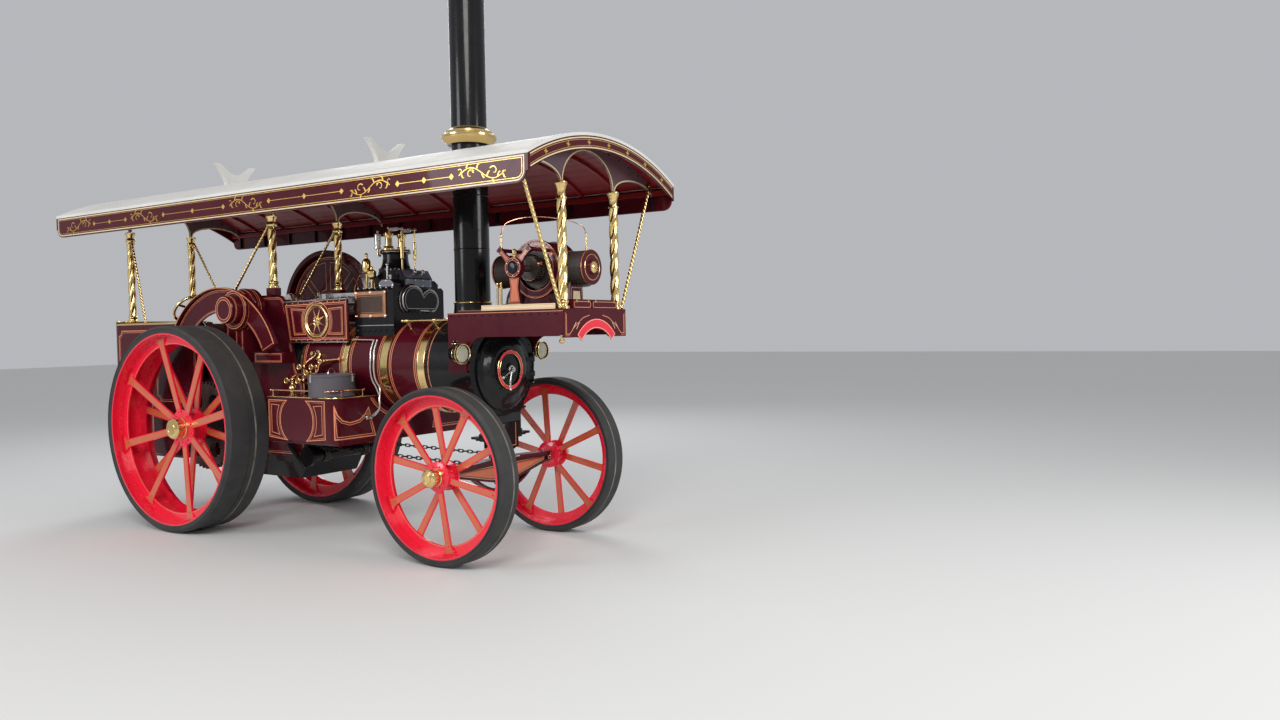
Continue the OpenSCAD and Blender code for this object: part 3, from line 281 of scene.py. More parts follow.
GRIME = (0.34, 0.29, 0.24)
LOOKS = {
    "maroon": dict(color=(0.082, 0.004, 0.011), other=(0.058, 0.003, 0.008), rough=(0.22, 0.34),
                   relief=(0.0004, 5.0), coat=(0.24, 0.04), dust=(GRIME, 0.008), specular=0.13),
    "crimson": dict(color=(0.90, 0.010, 0.044), other=(0.80, 0.008, 0.036), rough=(0.20, 0.34),
                    relief=(0.0003, 8.0), coat=(0.6, 0.05), dust=(GRIME, 0.03)),
    "orange": dict(color=(0.60, 0.135, 0.045), other=(0.53, 0.11, 0.036), rough=(0.28, 0.42), patch=7.0,
                   relief=(0.0002, 30.0), coat=(0.7, 0.06)),
    "line": dict(color=(0.76, 0.270, 0.130), other=(0.68, 0.21, 0.08), rough=(0.30, 0.42), patch=6.0,
                 coat=(0.7, 0.06)),
    "cream": dict(color=(0.78, 0.66, 0.42), other=(0.70, 0.57, 0.34), rough=(0.30, 0.45), patch=8.0,
                  coat=(0.5, 0.08)),
    "gold": dict(color=(0.84, 0.56, 0.16), other=(0.74, 0.45, 0.10), rough=(0.26, 0.40), patch=14.0,
                 relief=(0.0002, 90.0), metal=0.85),
    "black": dict(color=(0.006, 0.006, 0.007), other=(0.009, 0.008, 0.009), rough=(0.18, 0.32),
                  relief=(0.0005, 7.0), coat=(0.26, 0.05), dust=(GRIME, 0.008), specular=0.15),
    "iron": dict(color=(0.045, 0.043, 0.045), other=(0.085, 0.062, 0.048), rough=(0.36, 0.58), patch=9.0,
                 relief=(0.0006, 70.0), dust=(GRIME, 0.15), metal=0.55),
    "steel": dict(color=(0.74, 0.73, 0.71), other=(0.62, 0.59, 0.56), rough=(0.20, 0.34), patch=6.0,
                  relief=(0.0001, 160.0), metal=1.0),
    "brass": dict(color=(0.90, 0.69, 0.33), other=(0.80, 0.56, 0.22), rough=(0.12, 0.24), patch=5.0,
                  relief=(0.0001, 140.0), metal=1.0),
    "copper": dict(color=(0.88, 0.50, 0.32), other=(0.66, 0.27, 0.14), rough=(0.14, 0.28), patch=7.0,
                   relief=(0.0001, 120.0), metal=1.0),
    "white": dict(color=(0.74, 0.73, 0.70), other=(0.64, 0.62, 0.58), rough=(0.42, 0.60), patch=1.6,
                  relief=(0.0006, 26.0), dust=((0.42, 0.38, 0.33), 0.30)),
    # Boards and ribs under the roof: red darkened to stand for the canopy's shadow, which is painted shade
    "ceiling_painted_shade": dict(color=(0.230, 0.006, 0.008), other=(0.165, 0.004, 0.006), rough=(0.36, 0.50), patch=2.0,
                    relief=(0.0004, 30.0), coat=(0.15, 0.12), specular=0.25),
    # Scalloped canopy frames: maroon greyed to stand for shading, which is painted shade
    "valance_painted_shade": dict(color=(0.135, 0.070, 0.078), other=(0.100, 0.050, 0.058), rough=(0.40, 0.55), patch=4.0,
                    relief=(0.0003, 30.0), coat=(0.3, 0.12)),
    "scuff": dict(color=(0.280, 0.255, 0.215), other=(0.090, 0.084, 0.076), rough=(0.70, 0.90), patch=6.0,
                  sharp=0.2, relief=(0.0008, 80.0), specular=0.2),
    "rubber": dict(color=(0.030, 0.030, 0.032), other=(0.050, 0.048, 0.046), rough=(0.62, 0.82), patch=5.0,
                   sharp=0.3, relief=(0.0010, 75.0), dust=((0.20, 0.18, 0.15), 0.22), specular=0.35),
    "grey": dict(color=(0.095, 0.085, 0.100), other=(0.075, 0.068, 0.082), rough=(0.50, 0.64), patch=6.0,
                 relief=(0.0005, 60.0), dust=(GRIME, 0.2)),
    "coal": dict(color=(0.012, 0.012, 0.013), other=(0.030, 0.028, 0.028), rough=(0.22, 0.65), patch=18.0,
                 relief=(0.006, 28.0)),
    "winding": dict(color=(0.022, 0.018, 0.016), other=(0.045, 0.028, 0.018), rough=(0.45, 0.62), patch=12.0,
                    relief=(0.0012, 9.0), stretch=(26, 1, 1)),
    "wood": dict(color=(0.23, 0.105, 0.040), other=(0.13, 0.052, 0.020), rough=(0.42, 0.60), patch=5.0,
                 relief=(0.0008, 24.0), coat=(0.3, 0.04), stretch=(1, 9, 9)),
    "slate": dict(color=(0.16, 0.19, 0.25), other=(0.12, 0.145, 0.20), rough=(0.30, 0.44), patch=4.0,
                  relief=(0.0004, 12.0), coat=(0.6, 0.08)),
    "bronze": dict(color=(0.050, 0.024, 0.016), other=(0.075, 0.036, 0.022), rough=(0.24, 0.38), patch=7.0,
                   relief=(0.0004, 40.0), coat=(0.5, 0.04), metal=0.35),
    "dial": dict(color=(0.80, 0.79, 0.74), other=(0.74, 0.72, 0.66), rough=(0.25, 0.35), patch=20.0,
                 coat=(0.8, 0.04)),
}
MATS = {name: make_material(name, **look) for name, look in LOOKS.items()}
MATS["glass"] = make_glass()
REPLACED = {"twisted_columns": "canopy_columns", "twisted_stays": "canopy_stays",
            "chain_links_right": "steering_chains", "chain_links_left": "steering_chains"}
NODES_OF = {
    "maroon": "boiler dynamo_platform dynamo motion_covers flywheel hornplates gear_covers tender belly_tank "
              "front_axle canopy_fascia",
    "black": "firebox smokebox smokebox_door chimney chimney_extension perch_bracket cylinder_block "
             "cylinder_cover steering_column lamps",
    "brass": "boiler_bands safety_valves crankshaft_bearings steering_wheel canopy_columns canopy_stays",
    "steel": "motion rear_axle footplate_controls",
    "iron": "dynamo_armature steering_chains final_gear",
    "white": "canopy_roof chimney_cradles",
    "grey": "hose_drum",
    # The frames' greyed maroon is painted shade
    "valance_painted_shade": "canopy_frames",
}
NODE_MATERIAL = {node: key for key, nodes in NODES_OF.items() for node in nodes.split()}


def paint_nodes():
    """The material of each CAD node: wheels are crimson, with rubber tyres and brass caps."""
    for name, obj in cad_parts.items():
        wheel_part = "rubber" if "tyre" in name else "brass" if "hub_cap" in name else "crimson"
        obj.data.materials.clear()
        obj.data.materials.append(MATS[NODE_MATERIAL.get(name, wheel_part)])


paint_nodes()


# Mesh building
class Piece:
    """One object of the scene, gathered from simple closed solids that share a material and a body."""
    made = []

    def __init__(self, name, mat, body="root", angle=35, bend=None):
        self.name, self.mat, self.body, self.angle, self.bend = name, mat, body, angle, bend
        self.verts, self.faces = [], []
        Piece.made.append(self)

    def add(self, verts, faces):
        start = len(self.verts)
        self.verts += [Vector(v) for v in verts]
        self.faces += [tuple(start + i for i in f) for f in faces]

    def grid(self, rows, loop=False):
        """Joins closed rows of points into a skin, with a cap at each end, or round from last to first."""
        n, m = len(rows), len(rows[0])
        faces = []
        for i in range(n if loop else n - 1):
            a, b = i * m, ((i + 1) % n) * m
            for j in range(m):
                k = (j + 1) % m
                faces.append((a + j, a + k, b + k, b + j))
        if not loop:
            faces += [tuple(range(m))[::-1], tuple(range((n - 1) * m, n * m))]
        self.add([p for row in rows for p in row], faces)

    def tube(self, points, r, n=12, loop=False):
        """A round bar along points; r is a number or one for each point."""
        pts = [Vector(p) for p in points]
        last = len(pts) - 1
        rows, side = [], None
        for i, p in enumerate(pts):
            if loop:
                d = pts[(i + 1) % len(pts)] - pts[i - 1]
            else:
                d = pts[min(i + 1, last)] - pts[max(i - 1, 0)]
            d.normalize()
            if side is None:
                side = d.orthogonal()
            side = (side - d * side.dot(d)).normalized()
            up = d.cross(side)
            here = r[i] if isinstance(r, (list, tuple)) else r
            rows.append([p + (side * c + up * s) * here for c, s in around(n)])
        self.grid(rows, loop=loop)

    def turned(self, origin, axis, profile, n=28):
        """A turned shape: its profile is (distance along the axis, radius)."""
        axis = Vector(axis).normalized()
        a = axis.orthogonal().normalized()
        b = axis.cross(a)
        self.grid([[Vector(origin) + axis * d + (a * c + b * s) * max(r, 0.0002) for c, s in around(n)]
                   for d, r in profile])

    def torus(self, origin, axis, big, small, n=48, m=8, a0=0.0, a1=360.0, ref=None):
        """A ring, or an arc of one from a0 to a1 degrees measured from ref."""
        axis = Vector(axis).normalized()
        a = (Vector(ref) if ref else axis.orthogonal()).normalized()
        b = axis.cross(a)
        full = a1 - a0 > WHOLE_TURN
        angles = spaced(a0, a1, n if full else max(3, int(n * (a1 - a0) / 360)))
        if full:
            angles.pop()
        self.tube([Vector(origin) + (a * c + b * s) * big for c, s in map(polar, angles)], small, m,
                  loop=full)

    def box(self, one, other, cut):
        """A box between opposite corners, with its edges cut back a little."""
        (x0, x1), (y0, y1), (z0, z1) = (sorted(pair) for pair in zip(one, other))
        c = min(cut, (x1 - x0) / 3, (y1 - y0) / 3, (z1 - z0) / 3)
        self.grid([[(x0 + c, y0 + g, z), (x1 - c, y0 + g, z), (x1 - g, y0 + c, z), (x1 - g, y1 - c, z),
                    (x1 - c, y1 - g, z), (x0 + c, y1 - g, z), (x0 + g, y1 - c, z), (x0 + g, y0 + c, z)]
                   for z, g in ((z0, c), (z0 + c, 0), (z1 - c, 0), (z1, c))])

    def slab(self, outline, normal, thick, back=0.0005):
        """A plate of the given outline, standing thick proud of it and sunk a little behind."""
        n = Vector(normal).normalized()
        pts = [Vector(p) for p in outline]
        m = len(pts)
        faces = [tuple(range(m))[::-1], tuple(range(m, 2 * m))]
        faces += [(i, (i + 1) % m, m + (i + 1) % m, m + i) for i in range(m)]
        self.add([p - n * back for p in pts] + [p + n * thick for p in pts], faces)

    def ribbon(self, points, width, normal, closed=False, thick=0.0009, back=0.0006):
        """A flat painted or beaded line along points; normal is a vector or a list with one for each."""
        pts = [Vector(p) for p in points]
        count = len(pts)
        rows = []
        for i, p in enumerate(pts):
            n = Vector(normal[i] if isinstance(normal, list) else normal).normalized()
            a = pts[i - 1] if (i > 0 or closed) else None
            b = pts[(i + 1) % count] if (i < count - 1 or closed) else None
            d0 = (p - a).normalized() if a is not None else (b - p).normalized()
            d1 = (b - p).normalized() if b is not None else d0
            s0, s1 = n.cross(d0).normalized(), n.cross(d1).normalized()
            s = s0 + s1
            s = s.normalized() if s.length > 1e-6 else s0
            h = s / max(0.35, s.dot(s0)) * width / 2
            rows.append([p + h - n * back, p - h - n * back, p - h + n * thick, p + h + n * thick])
        self.grid(rows, loop=closed)

    def hoop(self, centre, r, width, n, axis=AHEAD, thick=0.0009):
        """A flat band round an axis along X or Y, facing outward."""
        out = [Vector((0, c, s) if axis == AHEAD else (c, 0, s)) for c, s in around(n)]
        self.ribbon([centre + d * r for d in out], width, out, closed=True, thick=thick)

    def dome(self, origin, normal, r, h=None, n=8):
        """A rivet or stud head."""
        h = h or r * 0.7
        self.turned(origin, normal, [(-0.001, r), (h * 0.35, r * 0.93), (h * 0.75, r * 0.62), (h, 0)], n)

    def domes(self, places, normal, r, n=8):
        for place in places:
            self.dome(place, normal, r, n=n)

    def nut(self, origin, normal, r, h, stud=True):
        """A six sided nut with the stud's end showing."""
        axis = Vector(normal).normalized()
        self.turned(origin, axis, [(-0.001, r), (h * 0.85, r), (h, r * 0.86)], 6)
        if stud:
            end = [(0, r * 0.5), (h * 0.5, r * 0.5), (h * 0.6, r * 0.35)]
            self.turned(Vector(origin) + axis * h * 0.9, axis, end, 8)

    def nuts(self, places, normal, r, h):
        for place in places:
            self.nut(place, normal, r, h)

    def ball(self, origin, r, n=14):
        steps = max(5, n // 2)
        self.turned(origin, UP, [(-r * c, r * s) for c, s in map(polar, spaced(0, 180, steps))], n)

    def build(self):
        mesh = bpy.data.meshes.new(self.name)
        mesh.from_pydata([tuple(v) for v in self.verts], [], self.faces)
        bm = bmesh.new()
        bm.from_mesh(mesh)
        bmesh.ops.recalc_face_normals(bm, faces=bm.faces)
        bm.to_mesh(mesh)
        bm.free()
        mesh.shade_smooth()
        mesh.set_sharp_from_angle(angle=math.radians(self.angle))
        mesh.materials.append(MATS[self.mat])
        obj = bpy.data.objects.new(self.name, mesh)
        bpy.context.scene.collection.objects.link(obj)
        if self.bend:
            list(self.bend)
            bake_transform(obj)
        else:
            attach(obj, self.body)
        if self.name in REPLACED:
            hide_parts(REPLACED[self.name])


# Wheels
Wheel = namedtuple("Wheel", "x z y rim_r rim_rivets t_rows t_in hub_r hub_y bolts cap_y cap_r "
                            "spoke_in spoke_out width foot thick spokes")
REAR_WHEEL = Wheel(x=0.0, z=REAR_R, y=REAR_Y, rim_r=REAR_RIM, rim_rivets=40, t_rows=(-0.100, 0.100),
                   t_in=0.877, hub_r=0.190, hub_y=0.037, bolts=10, cap_y=0.160, cap_r=0.108, spoke_in=0.105,
                   spoke_out=0.952, width=0.084, foot=0.200, thick=0.016,
                   spokes=[spoke for i in range(8)
                           for spoke in (((i + 0.72) * 45, 0.030, 0.112), ((i + 0.22) * 45, -0.113, -0.113))])
FRONT_WHEEL = Wheel(x=WHEELBASE, z=FRONT_R, y=FRONT_Y, rim_r=FRONT_RIM, rim_rivets=30, t_rows=(0.0,),
                    t_in=0.604, hub_r=0.132, hub_y=0.058, bolts=8, cap_y=0.180, cap_r=0.078, spoke_in=0.070,
                    spoke_out=0.676, width=0.066, foot=0.172, thick=0.014,
                    spokes=[((i + 0.3) * 36, *((-0.062, -0.012) if i % 2 else (0.042, 0.012)))
                            for i in range(10)])


def spoke_outline(w, start, margin):
    """A flared spoke's outline in (distance out, distance across), moved in by margin."""
    spread = (w.foot - w.width) / 2
    edge = [(start, 0.44 * w.width - margin)]
    for c, s in map(polar, spaced(0, 90, 5)):
        n = Vector((spread * s, -2.0 * spread * c)).normalized() * margin
        edge.append((min(w.spoke_out - 2.0 * spread * (1 - s) + n.x, w.spoke_out - margin),
                     min(w.width / 2 + spread * (1 - c) + n.y, w.foot / 2 - 1.2 * margin)))
    return edge + [(r, -s) for r, s in reversed(edge)]


def dress_wheel(name, w, side):
    """Spoke plates, panels, rivets and bolts of one wheel; distances along Y are measured outward."""
    face = Vector((0, side, 0))

    def place(angle, r, across, out):
        c, s = polar(angle)
        return at(w.x + c * r + s * across, side * (w.y + out), w.z - s * r + c * across)

    plates = Piece(f"{name}_spoke_plates", "crimson", name)
    panel = Piece(f"{name}_spoke_panels", "orange", name)
    rivets = Piece(f"{name}_rivets", "crimson", name)
    lines = Piece(f"{name}_lining", "line", name)
    top = w.thick / 2 + 0.0015
    for angle, y0, y1 in w.spokes:
        slope = (y1 - y0) / (w.spoke_out - w.spoke_in)
        for piece, start, margin, turn, height, back in (
                (plates, w.spoke_in + 0.010, 0.0, 1, top, top),
                (panel, w.hub_r + 0.018, 0.0095, 1, top + 0.0010, 0.0005 - top),
                (panel, w.hub_r + 0.018, 0.0095, -1, top + 0.0010, 0.0005 - top)):
            outline = [place(angle, r, s, y0 + (r - w.spoke_in) * slope)
                       for r, s in spoke_outline(w, start, margin)]
            piece.slab(outline[::turn], face * turn, height, back)
        for depth, s in ((0.024, w.foot * 0.30), (0.024, -w.foot * 0.30), (0.075, 0.0)):
            r = w.spoke_out - depth
            rivets.dome(place(angle, r, s, y0 + (r - w.spoke_in) * slope + top + 0.0006), face, 0.0105)
        hub_out = y0 + (w.hub_r - w.spoke_in) * slope + top
        for s in (0.013, -0.013):
            rivets.dome(place(angle, w.hub_r - 0.020, s, max(hub_out, w.hub_y) if y0 > 0 else hub_out),
                        face, 0.008)
    for row in w.t_rows:
        for c, s in around(w.rim_rivets, 0.5):
            for off in (-0.026, 0.026):
                rivets.dome(at(w.x + c * w.rim_r, side * (w.y + row + off), w.z - s * w.rim_r), (-c, 0, s),
                            0.009, 0.006, 6)
    for r, out, n in ((w.t_in + 0.010, max(w.t_rows) + 0.0074, 72), (w.hub_r - 0.012, w.hub_y + 0.0003, 45)):
        lines.ribbon([place(i * 360 / n, r, 0, out) for i in range(n)], 0.005, face, closed=True)
    nuts = Piece(f"{name}_hub_bolts", "crimson", name)
    nuts.nuts([place((i + 0.5) * 360 / w.bolts, w.hub_r - 0.036, 0, w.hub_y) for i in range(w.bolts)],
              face, 0.0125, 0.012)
    ring = Piece(f"{name}_cap_ring", "brass", name)
    ring.torus(at(w.x, side * (w.y + w.cap_y), w.z), face, w.cap_r * 0.50, 0.0035, 40, 8)


# Tyres: raised joints as (depth below the tread, distance in from the side), and the worn line's shift inward
TYRES = {"rear": (((0.059, 0.0092), (0.030, 0.0002)), 0.062),
         "front": (((0.049, 0.0002), (0.030, 0.0002)), 0.030)}


def dress_tyre(end, side, word):
    """Moulded joints on a tyre's flanks, and the pale line where it meets the road."""
    lo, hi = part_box(f"{end}_tyre_{word}")
    centre, r, half = (Vector(lo) + Vector(hi)) / 2, (hi[2] - lo[2]) / 2, (hi[1] - lo[1]) / 2
    joints, shift = TYRES[end]
    band = Piece(f"{end}_tread_{word}_joints", "rubber", f"{end}_{word}")
    for y in (-1, 1):
        for depth, margin in joints:
            band.torus(centre + Vector((0, y * (half - margin), 0)), LEFT, r - depth, 0.0035, 96, 5)
    worn = Piece(f"{end}_tread_{word}_worn_line", "scuff", f"{end}_{word}")
    worn.hoop(centre - Vector((0, side * shift, 0)), r, 0.018, 96, LEFT, 0.0008)


for side, word in SIDES:
    dress_wheel(f"rear_{word}", REAR_WHEEL, side)
    dress_wheel(f"front_{word}", FRONT_WHEEL, side)
for end in ("rear", "front"):
    for side, word in SIDES:
        dress_tyre(end, side, word)

# Canopy: its fascia boards
EDGE_Z = roof_z(CANOPY_HALF) - 0.001
FASCIA_LOW = EDGE_Z - 0.215
FASCIA_MID = (FASCIA_LOW + EDGE_Z) / 2
FASCIA_CORNER = 0.090


def fascia_outline(side, margin):
    """The fascia board's outline, with hollow lower corners, moved in by margin."""
    x0, x1 = CANOPY_X0 + 0.022 + margin, CANOPY_X1 - 0.022 - margin
    z0, z1 = FASCIA_LOW + margin, EDGE_Z - margin * 0.8
    r = FASCIA_CORNER - margin
    hollow = [(r * (1 - c), z0 + r * (1 - s)) for c, s in map(polar, spaced(0, 90, 6))]
    pts = [(x0, z1)] + [(x0 + u, z) for u, z in hollow] + [(x1 - u, z) for u, z in hollow[::-1]] + [(x1, z1)]
    return on_y(pts, side * (CANOPY_HALF + 0.0002))


def stroke(piece, points, w0, w1, place):
    """A raised brush stroke through pairs, its half width going from w0 to w1."""
    rows, last = [], len(points) - 1
    for i, (u, v) in enumerate(points):
        (au, av), (bu, bv) = points[max(i - 1, 0)], points[min(i + 1, last)]
        d = Vector((bu - au, bv - av)).normalized() * (w0 + (w1 - w0) * i / last)
        rows.append([place(u - d.y, v + d.x, 0), place(u + d.y, v - d.x, 0),
                     place(u + d.y, v - d.x, 1), place(u - d.y, v + d.x, 1)])
    piece.grid(rows)


def scroll(piece, cx, flip, side, size=0.150, stand=0.0012):
    """A plain leafy scroll: opposed spirals with leaves along a waving stem."""
    def place(u, v, raised):
        y = CANOPY_HALF + (0.0002 + stand if raised else -0.0004)
        return at(cx + flip * u * size, side * y, FASCIA_MID + v * size)

    stroke(piece, [(u, 0.34 * math.sin(math.pi * (u + 1.6) / 1.6)) for u in spaced(-1.6, 1.6, 24)], 0.030,
           0.018, place)
    for u, v, turn, s in ((-0.80, -0.02, 1, 1.0), (0.80, 0.02, -1, 1.0), (1.45, -0.16, 1, 0.55),
                          (-1.5, 0.20, -1, 0.55)):
        spiral = []
        for t in spaced(0, 1, 29):
            a = turn * (0.6 + 4.4 * t) + (0 if turn > 0 else math.pi)
            r = s * 0.30 * (1 - 0.82 * t)
            spiral.append((u + r * math.cos(a), v + r * math.sin(a)))
        stroke(piece, spiral, 0.036 * s, 0.012, place)
    for i in range(9):
        t = (i + 0.5) / 9
        u, v, up = -1.6 + 3.2 * t, 0.34 * math.sin(2 * math.pi * t), 1 if i % 2 else -1
        leaf = [(u + 0.04 * k, v + up * (0.05 + 0.22 * math.sin(math.pi * k / 7))) for k in range(6)]
        stroke(piece, leaf, 0.050, 0.006, place)


canopy_line = Piece("canopy_lining", "cream")
canopy_gold = Piece("canopy_gold_lines", "gold")
scrolls = Piece("canopy_scrolls", "gold")
for side in (-1, 1):
    n = (0, side, 0)
    y = side * (CANOPY_HALF + 0.0002)
    canopy_line.ribbon(fascia_outline(side, 0.0175), 0.011, n, closed=True)
    canopy_gold.ribbon(fascia_outline(side, 0.036), 0.005, n, closed=True)
    for x, flip in ((4.30, 1), (-1.53, -1), (3.05, -1), (-0.28, 1), (1.38, 1)):
        scroll(scrolls, x, flip, side)
    for x0, x1 in ((-1.22, -0.62), (0.06, 1.04), (1.72, 2.70), (3.38, 3.98)):
        canopy_gold.ribbon([at(x0, y, FASCIA_MID), at(x1, y, FASCIA_MID)], 0.005, n)
        for x in (x0, x1, (x0 + x1) / 2):
            scrolls.slab(on_y(circle(x, FASCIA_MID, 0.026, 4), y), n, 0.0012)
for x, nx in ((CANOPY_X1, 1), (CANOPY_X0, -1)):
    n = (nx, 0, 0)
    for depth, width, piece in ((0.017, 0.010, canopy_line), (0.100, 0.010, canopy_line),
                                (0.033, 0.005, canopy_gold), (0.084, 0.005, canopy_gold)):
        ys = spaced(0.03 - CANOPY_HALF, CANOPY_HALF - 0.03, 60)
        piece.ribbon([at(x + nx * 0.0002, y, roof_z(y, UNDER_R - depth)) for y in ys], width, n)
    for k in range(-3, 4):
        y = k * 0.30
        z = roof_z(y, UNDER_R - 0.058)
        points = [(y + r * c, z + r * s) for (c, s), r in zip(around(8), (0.030, 0.012) * 4)]
        scrolls.slab(on_x(points, x + nx * 0.0003), n, 0.0012)

# Cream edges of the scalloped frames, both faces
edge_y = CANOPY_HALF - 0.027
valance_edge = Piece("valance_edges", "cream")
for cx, half, _ in COLUMNS:
    for face in (-1, 1):
        for a, b, rise in ((-edge_y, -half, 0.130), (-half, half, roof_z(0) - 0.090 - CUSP_Z),
                           (half, edge_y, 0.130)):
            arch = [((a + b) / 2 - ((b - a) / 2 - 0.011) * c, CUSP_Z + 0.011 + rise * s)
                    for c, s in map(polar, spaced(0, 180, 24))]
            valance_edge.ribbon(on_x(arch, cx + face * 0.0072), 0.013, (face, 0, 0))

# Seams of the canvas over the roof, and the hems along its edges
seams = Piece("roof_seams", "white")


def roof_normal(y):
    return 0, y / ROOF_R, (roof_z(y, ROOF_R) - ROOF_CZ) / ROOF_R


def seam(x, width, thick):
    """A strip of canvas across the whole roof at x."""
    ys = spaced(-1.108, 1.108, 44)
    seams.ribbon([at(x, y, roof_z(y, ROOF_R)) for y in ys], width, [roof_normal(y) for y in ys], thick=thick)


for x in (-1.62, -0.92, -0.22, 0.48, 1.18, 1.88, 2.58, 3.62, 4.32):
    seam(x, 0.034, 0.0016)
    seam(x + 0.026, 0.006, 0.0010)
for y in (-1.086, 1.086):
    z = roof_z(y, ROOF_R)
    seams.ribbon([at(CANOPY_X0 + 0.012, y, z), at(CANOPY_X1 - 0.012, y, z)], 0.040, roof_normal(y),
                 thick=0.0018)
for x in (CANOPY_X0 + 0.030, CANOPY_X1 - 0.030):
    seam(x, 0.040, 0.0018)

# Boards under the roof, cut for the frames and the chimney
# Their dark red stands for the shade under the canopy: painted shade
boards = Piece("ceiling_boards", "ceiling_painted_shade", angle=20)
CEILING_X0, CEILING_X1, HOLE_R, FRAME_CUT = CANOPY_X0 + 0.026, CANOPY_X1 - 0.026, 0.216, 0.009
BOARD_ENDS = spaced(-1.095, 1.095, 20)
for y0, y1 in zip(BOARD_ENDS, BOARD_ENDS[1:]):
    y0, y1 = y0 + 0.0018, y1 - 0.0018
    spans = [(CEILING_X0, CEILING_X1)]
    if min(abs(y0), abs(y1)) < 0.215:
        spans = [(CEILING_X0, CHIMNEY_X - HOLE_R), (CHIMNEY_X + HOLE_R, CEILING_X1)]
    section = [(y0, roof_z(y0) - 0.0004), (y1, roof_z(y1) - 0.0004), (y1, roof_z(y1) - 0.010),
               (y1 - 0.004, roof_z(y1) - 0.013), (y0 + 0.004, roof_z(y0) - 0.013), (y0, roof_z(y0) - 0.010)]
    for x0, x1 in spans:
        cuts = [v for c, _, _ in COLUMNS[::-1] if x0 < c < x1 for v in (c - FRAME_CUT, c + FRAME_CUT)]
        ends = [x0, *cuts, x1]
        for a, b in zip(ends[::2], ends[1::2]):
            boards.grid([on_x(section, a), on_x(section, b)])
hole = Piece("chimney_hole_trim", "black")
hole.grid([[at(CHIMNEY_X + r * c, r * s, roof_z(r * s) - z) for c, s in around(48)]
           for r, z in ((0.2135, 0.004), (0.335, 0.0125), (0.335, 0.018), (0.2135, 0.020))], loop=True)

# Ribs, wall plates, brackets and frame bolts
# The ribs and wall plates share the boards' red, darkened as painted shade
ribs = Piece("canopy_ribs", "ceiling_painted_shade")
for x in (-1.45, -0.93, -0.28, 0.33, 1.40, 1.95, 2.50, 3.72, 4.14):
    ribs.grid([[at(x + dx, y, roof_z(y) - depth) for dx, depth in rectangle(-0.016, 0.016, 0.012, 0.042)]
               for y in spaced(-1.09, 1.09, 40)])
for side in (-1, 1):
    ribs.box(at(CANOPY_X0 + 0.03, side * 1.070, EDGE_Z - 0.070),
             at(CANOPY_X1 - 0.03, side * 1.107, EDGE_Z - 0.018), 0.004)
brackets = Piece("canopy_brackets", "black")
for side in (-1, 1):
    for i in range(14):
        x = -1.80 + i * 0.487
        brackets.box(at(x - 0.012, side * 1.080, FASCIA_LOW + 0.010),
                     at(x + 0.012, side * 1.108, EDGE_Z - 0.065), 0.003)
bolts = Piece("frame_bolts", "black")
for cx, half, _ in COLUMNS:
    for face in (-1, 1):
        for k in range(-6, 7):
            y = k * 0.165
            bolts.dome(at(cx + face * 0.007, y, roof_z(y) - 0.045), (face, 0, 0), 0.010)


# Columns and stays
Twist = namedtuple("Twist", "r lobe pitch step sides hand")
COLUMN_TWIST = Twist(r=0.0352, lobe=0.0075, pitch=0.500, step=0.0095, sides=36, hand=1)
COLUMN_BASE = [(0, 0.055), (0.022, 0.055), (0.026, 0.050), (0.030, 0.044), (0.038, 0.041), (0.046, 0.044),
               (0.050, 0.049), (0.058, 0.051), (0.066, 0.049), (0.074, 0.038), (0.084, 0.034)]
# Depth below the column's top, and radius
COLUMN_CAP = [(0.150, 0.034), (0.142, 0.040), (0.136, 0.048), (0.126, 0.048), (0.122, 0.036),
              (0.060, 0.036), (0.054, 0.041), (0.044, 0.0435), (0.033, 0.046), (0.022, 0.055), (0, 0.055)]
STAY_COLLAR = [(0.0, 0.0363), (0.0, 0.050), (0.005, 0.053), (0.035, 0.053), (0.040, 0.050), (0.040, 0.0363)]


def twisted(piece, a, b, twist):
    """A twisted bar of three rounded lobes from a to b."""
    d = (b - a).normalized()
    u = Vector(AHEAD if abs(d.x) < 0.9 else LEFT)
    u = (u - d * u.dot(d)).normalized()
    v = d.cross(u)
    length = (b - a).length
    rows = []
    for t in spaced(0, length, max(2, int(length / twist.step))):
        row = []
        for k in range(twist.sides):
            q = 2 * math.pi * k / twist.sides
            r = twist.r - twist.lobe + twist.lobe * 2 * abs(math.cos(1.5 * q)) ** 0.85
            turned = q + twist.hand * 2 * math.pi * t / twist.pitch
            row.append(a + d * t + (u * math.cos(turned) + v * math.sin(turned)) * r)
        rows.append(row)
    piece.grid(rows)


def stay(a, b, r):
    """A twisted stay with a ball near each end."""
    twisted(stays, a, b, Twist(r=r - 0.0020, lobe=0.0028, pitch=0.132, step=0.0075, sides=18, hand=-1))
    d = (b - a).normalized()
    stays.ball(a + d * 0.010, r * 1.15)
    stays.ball(b - d * 0.010, r * 1.15)


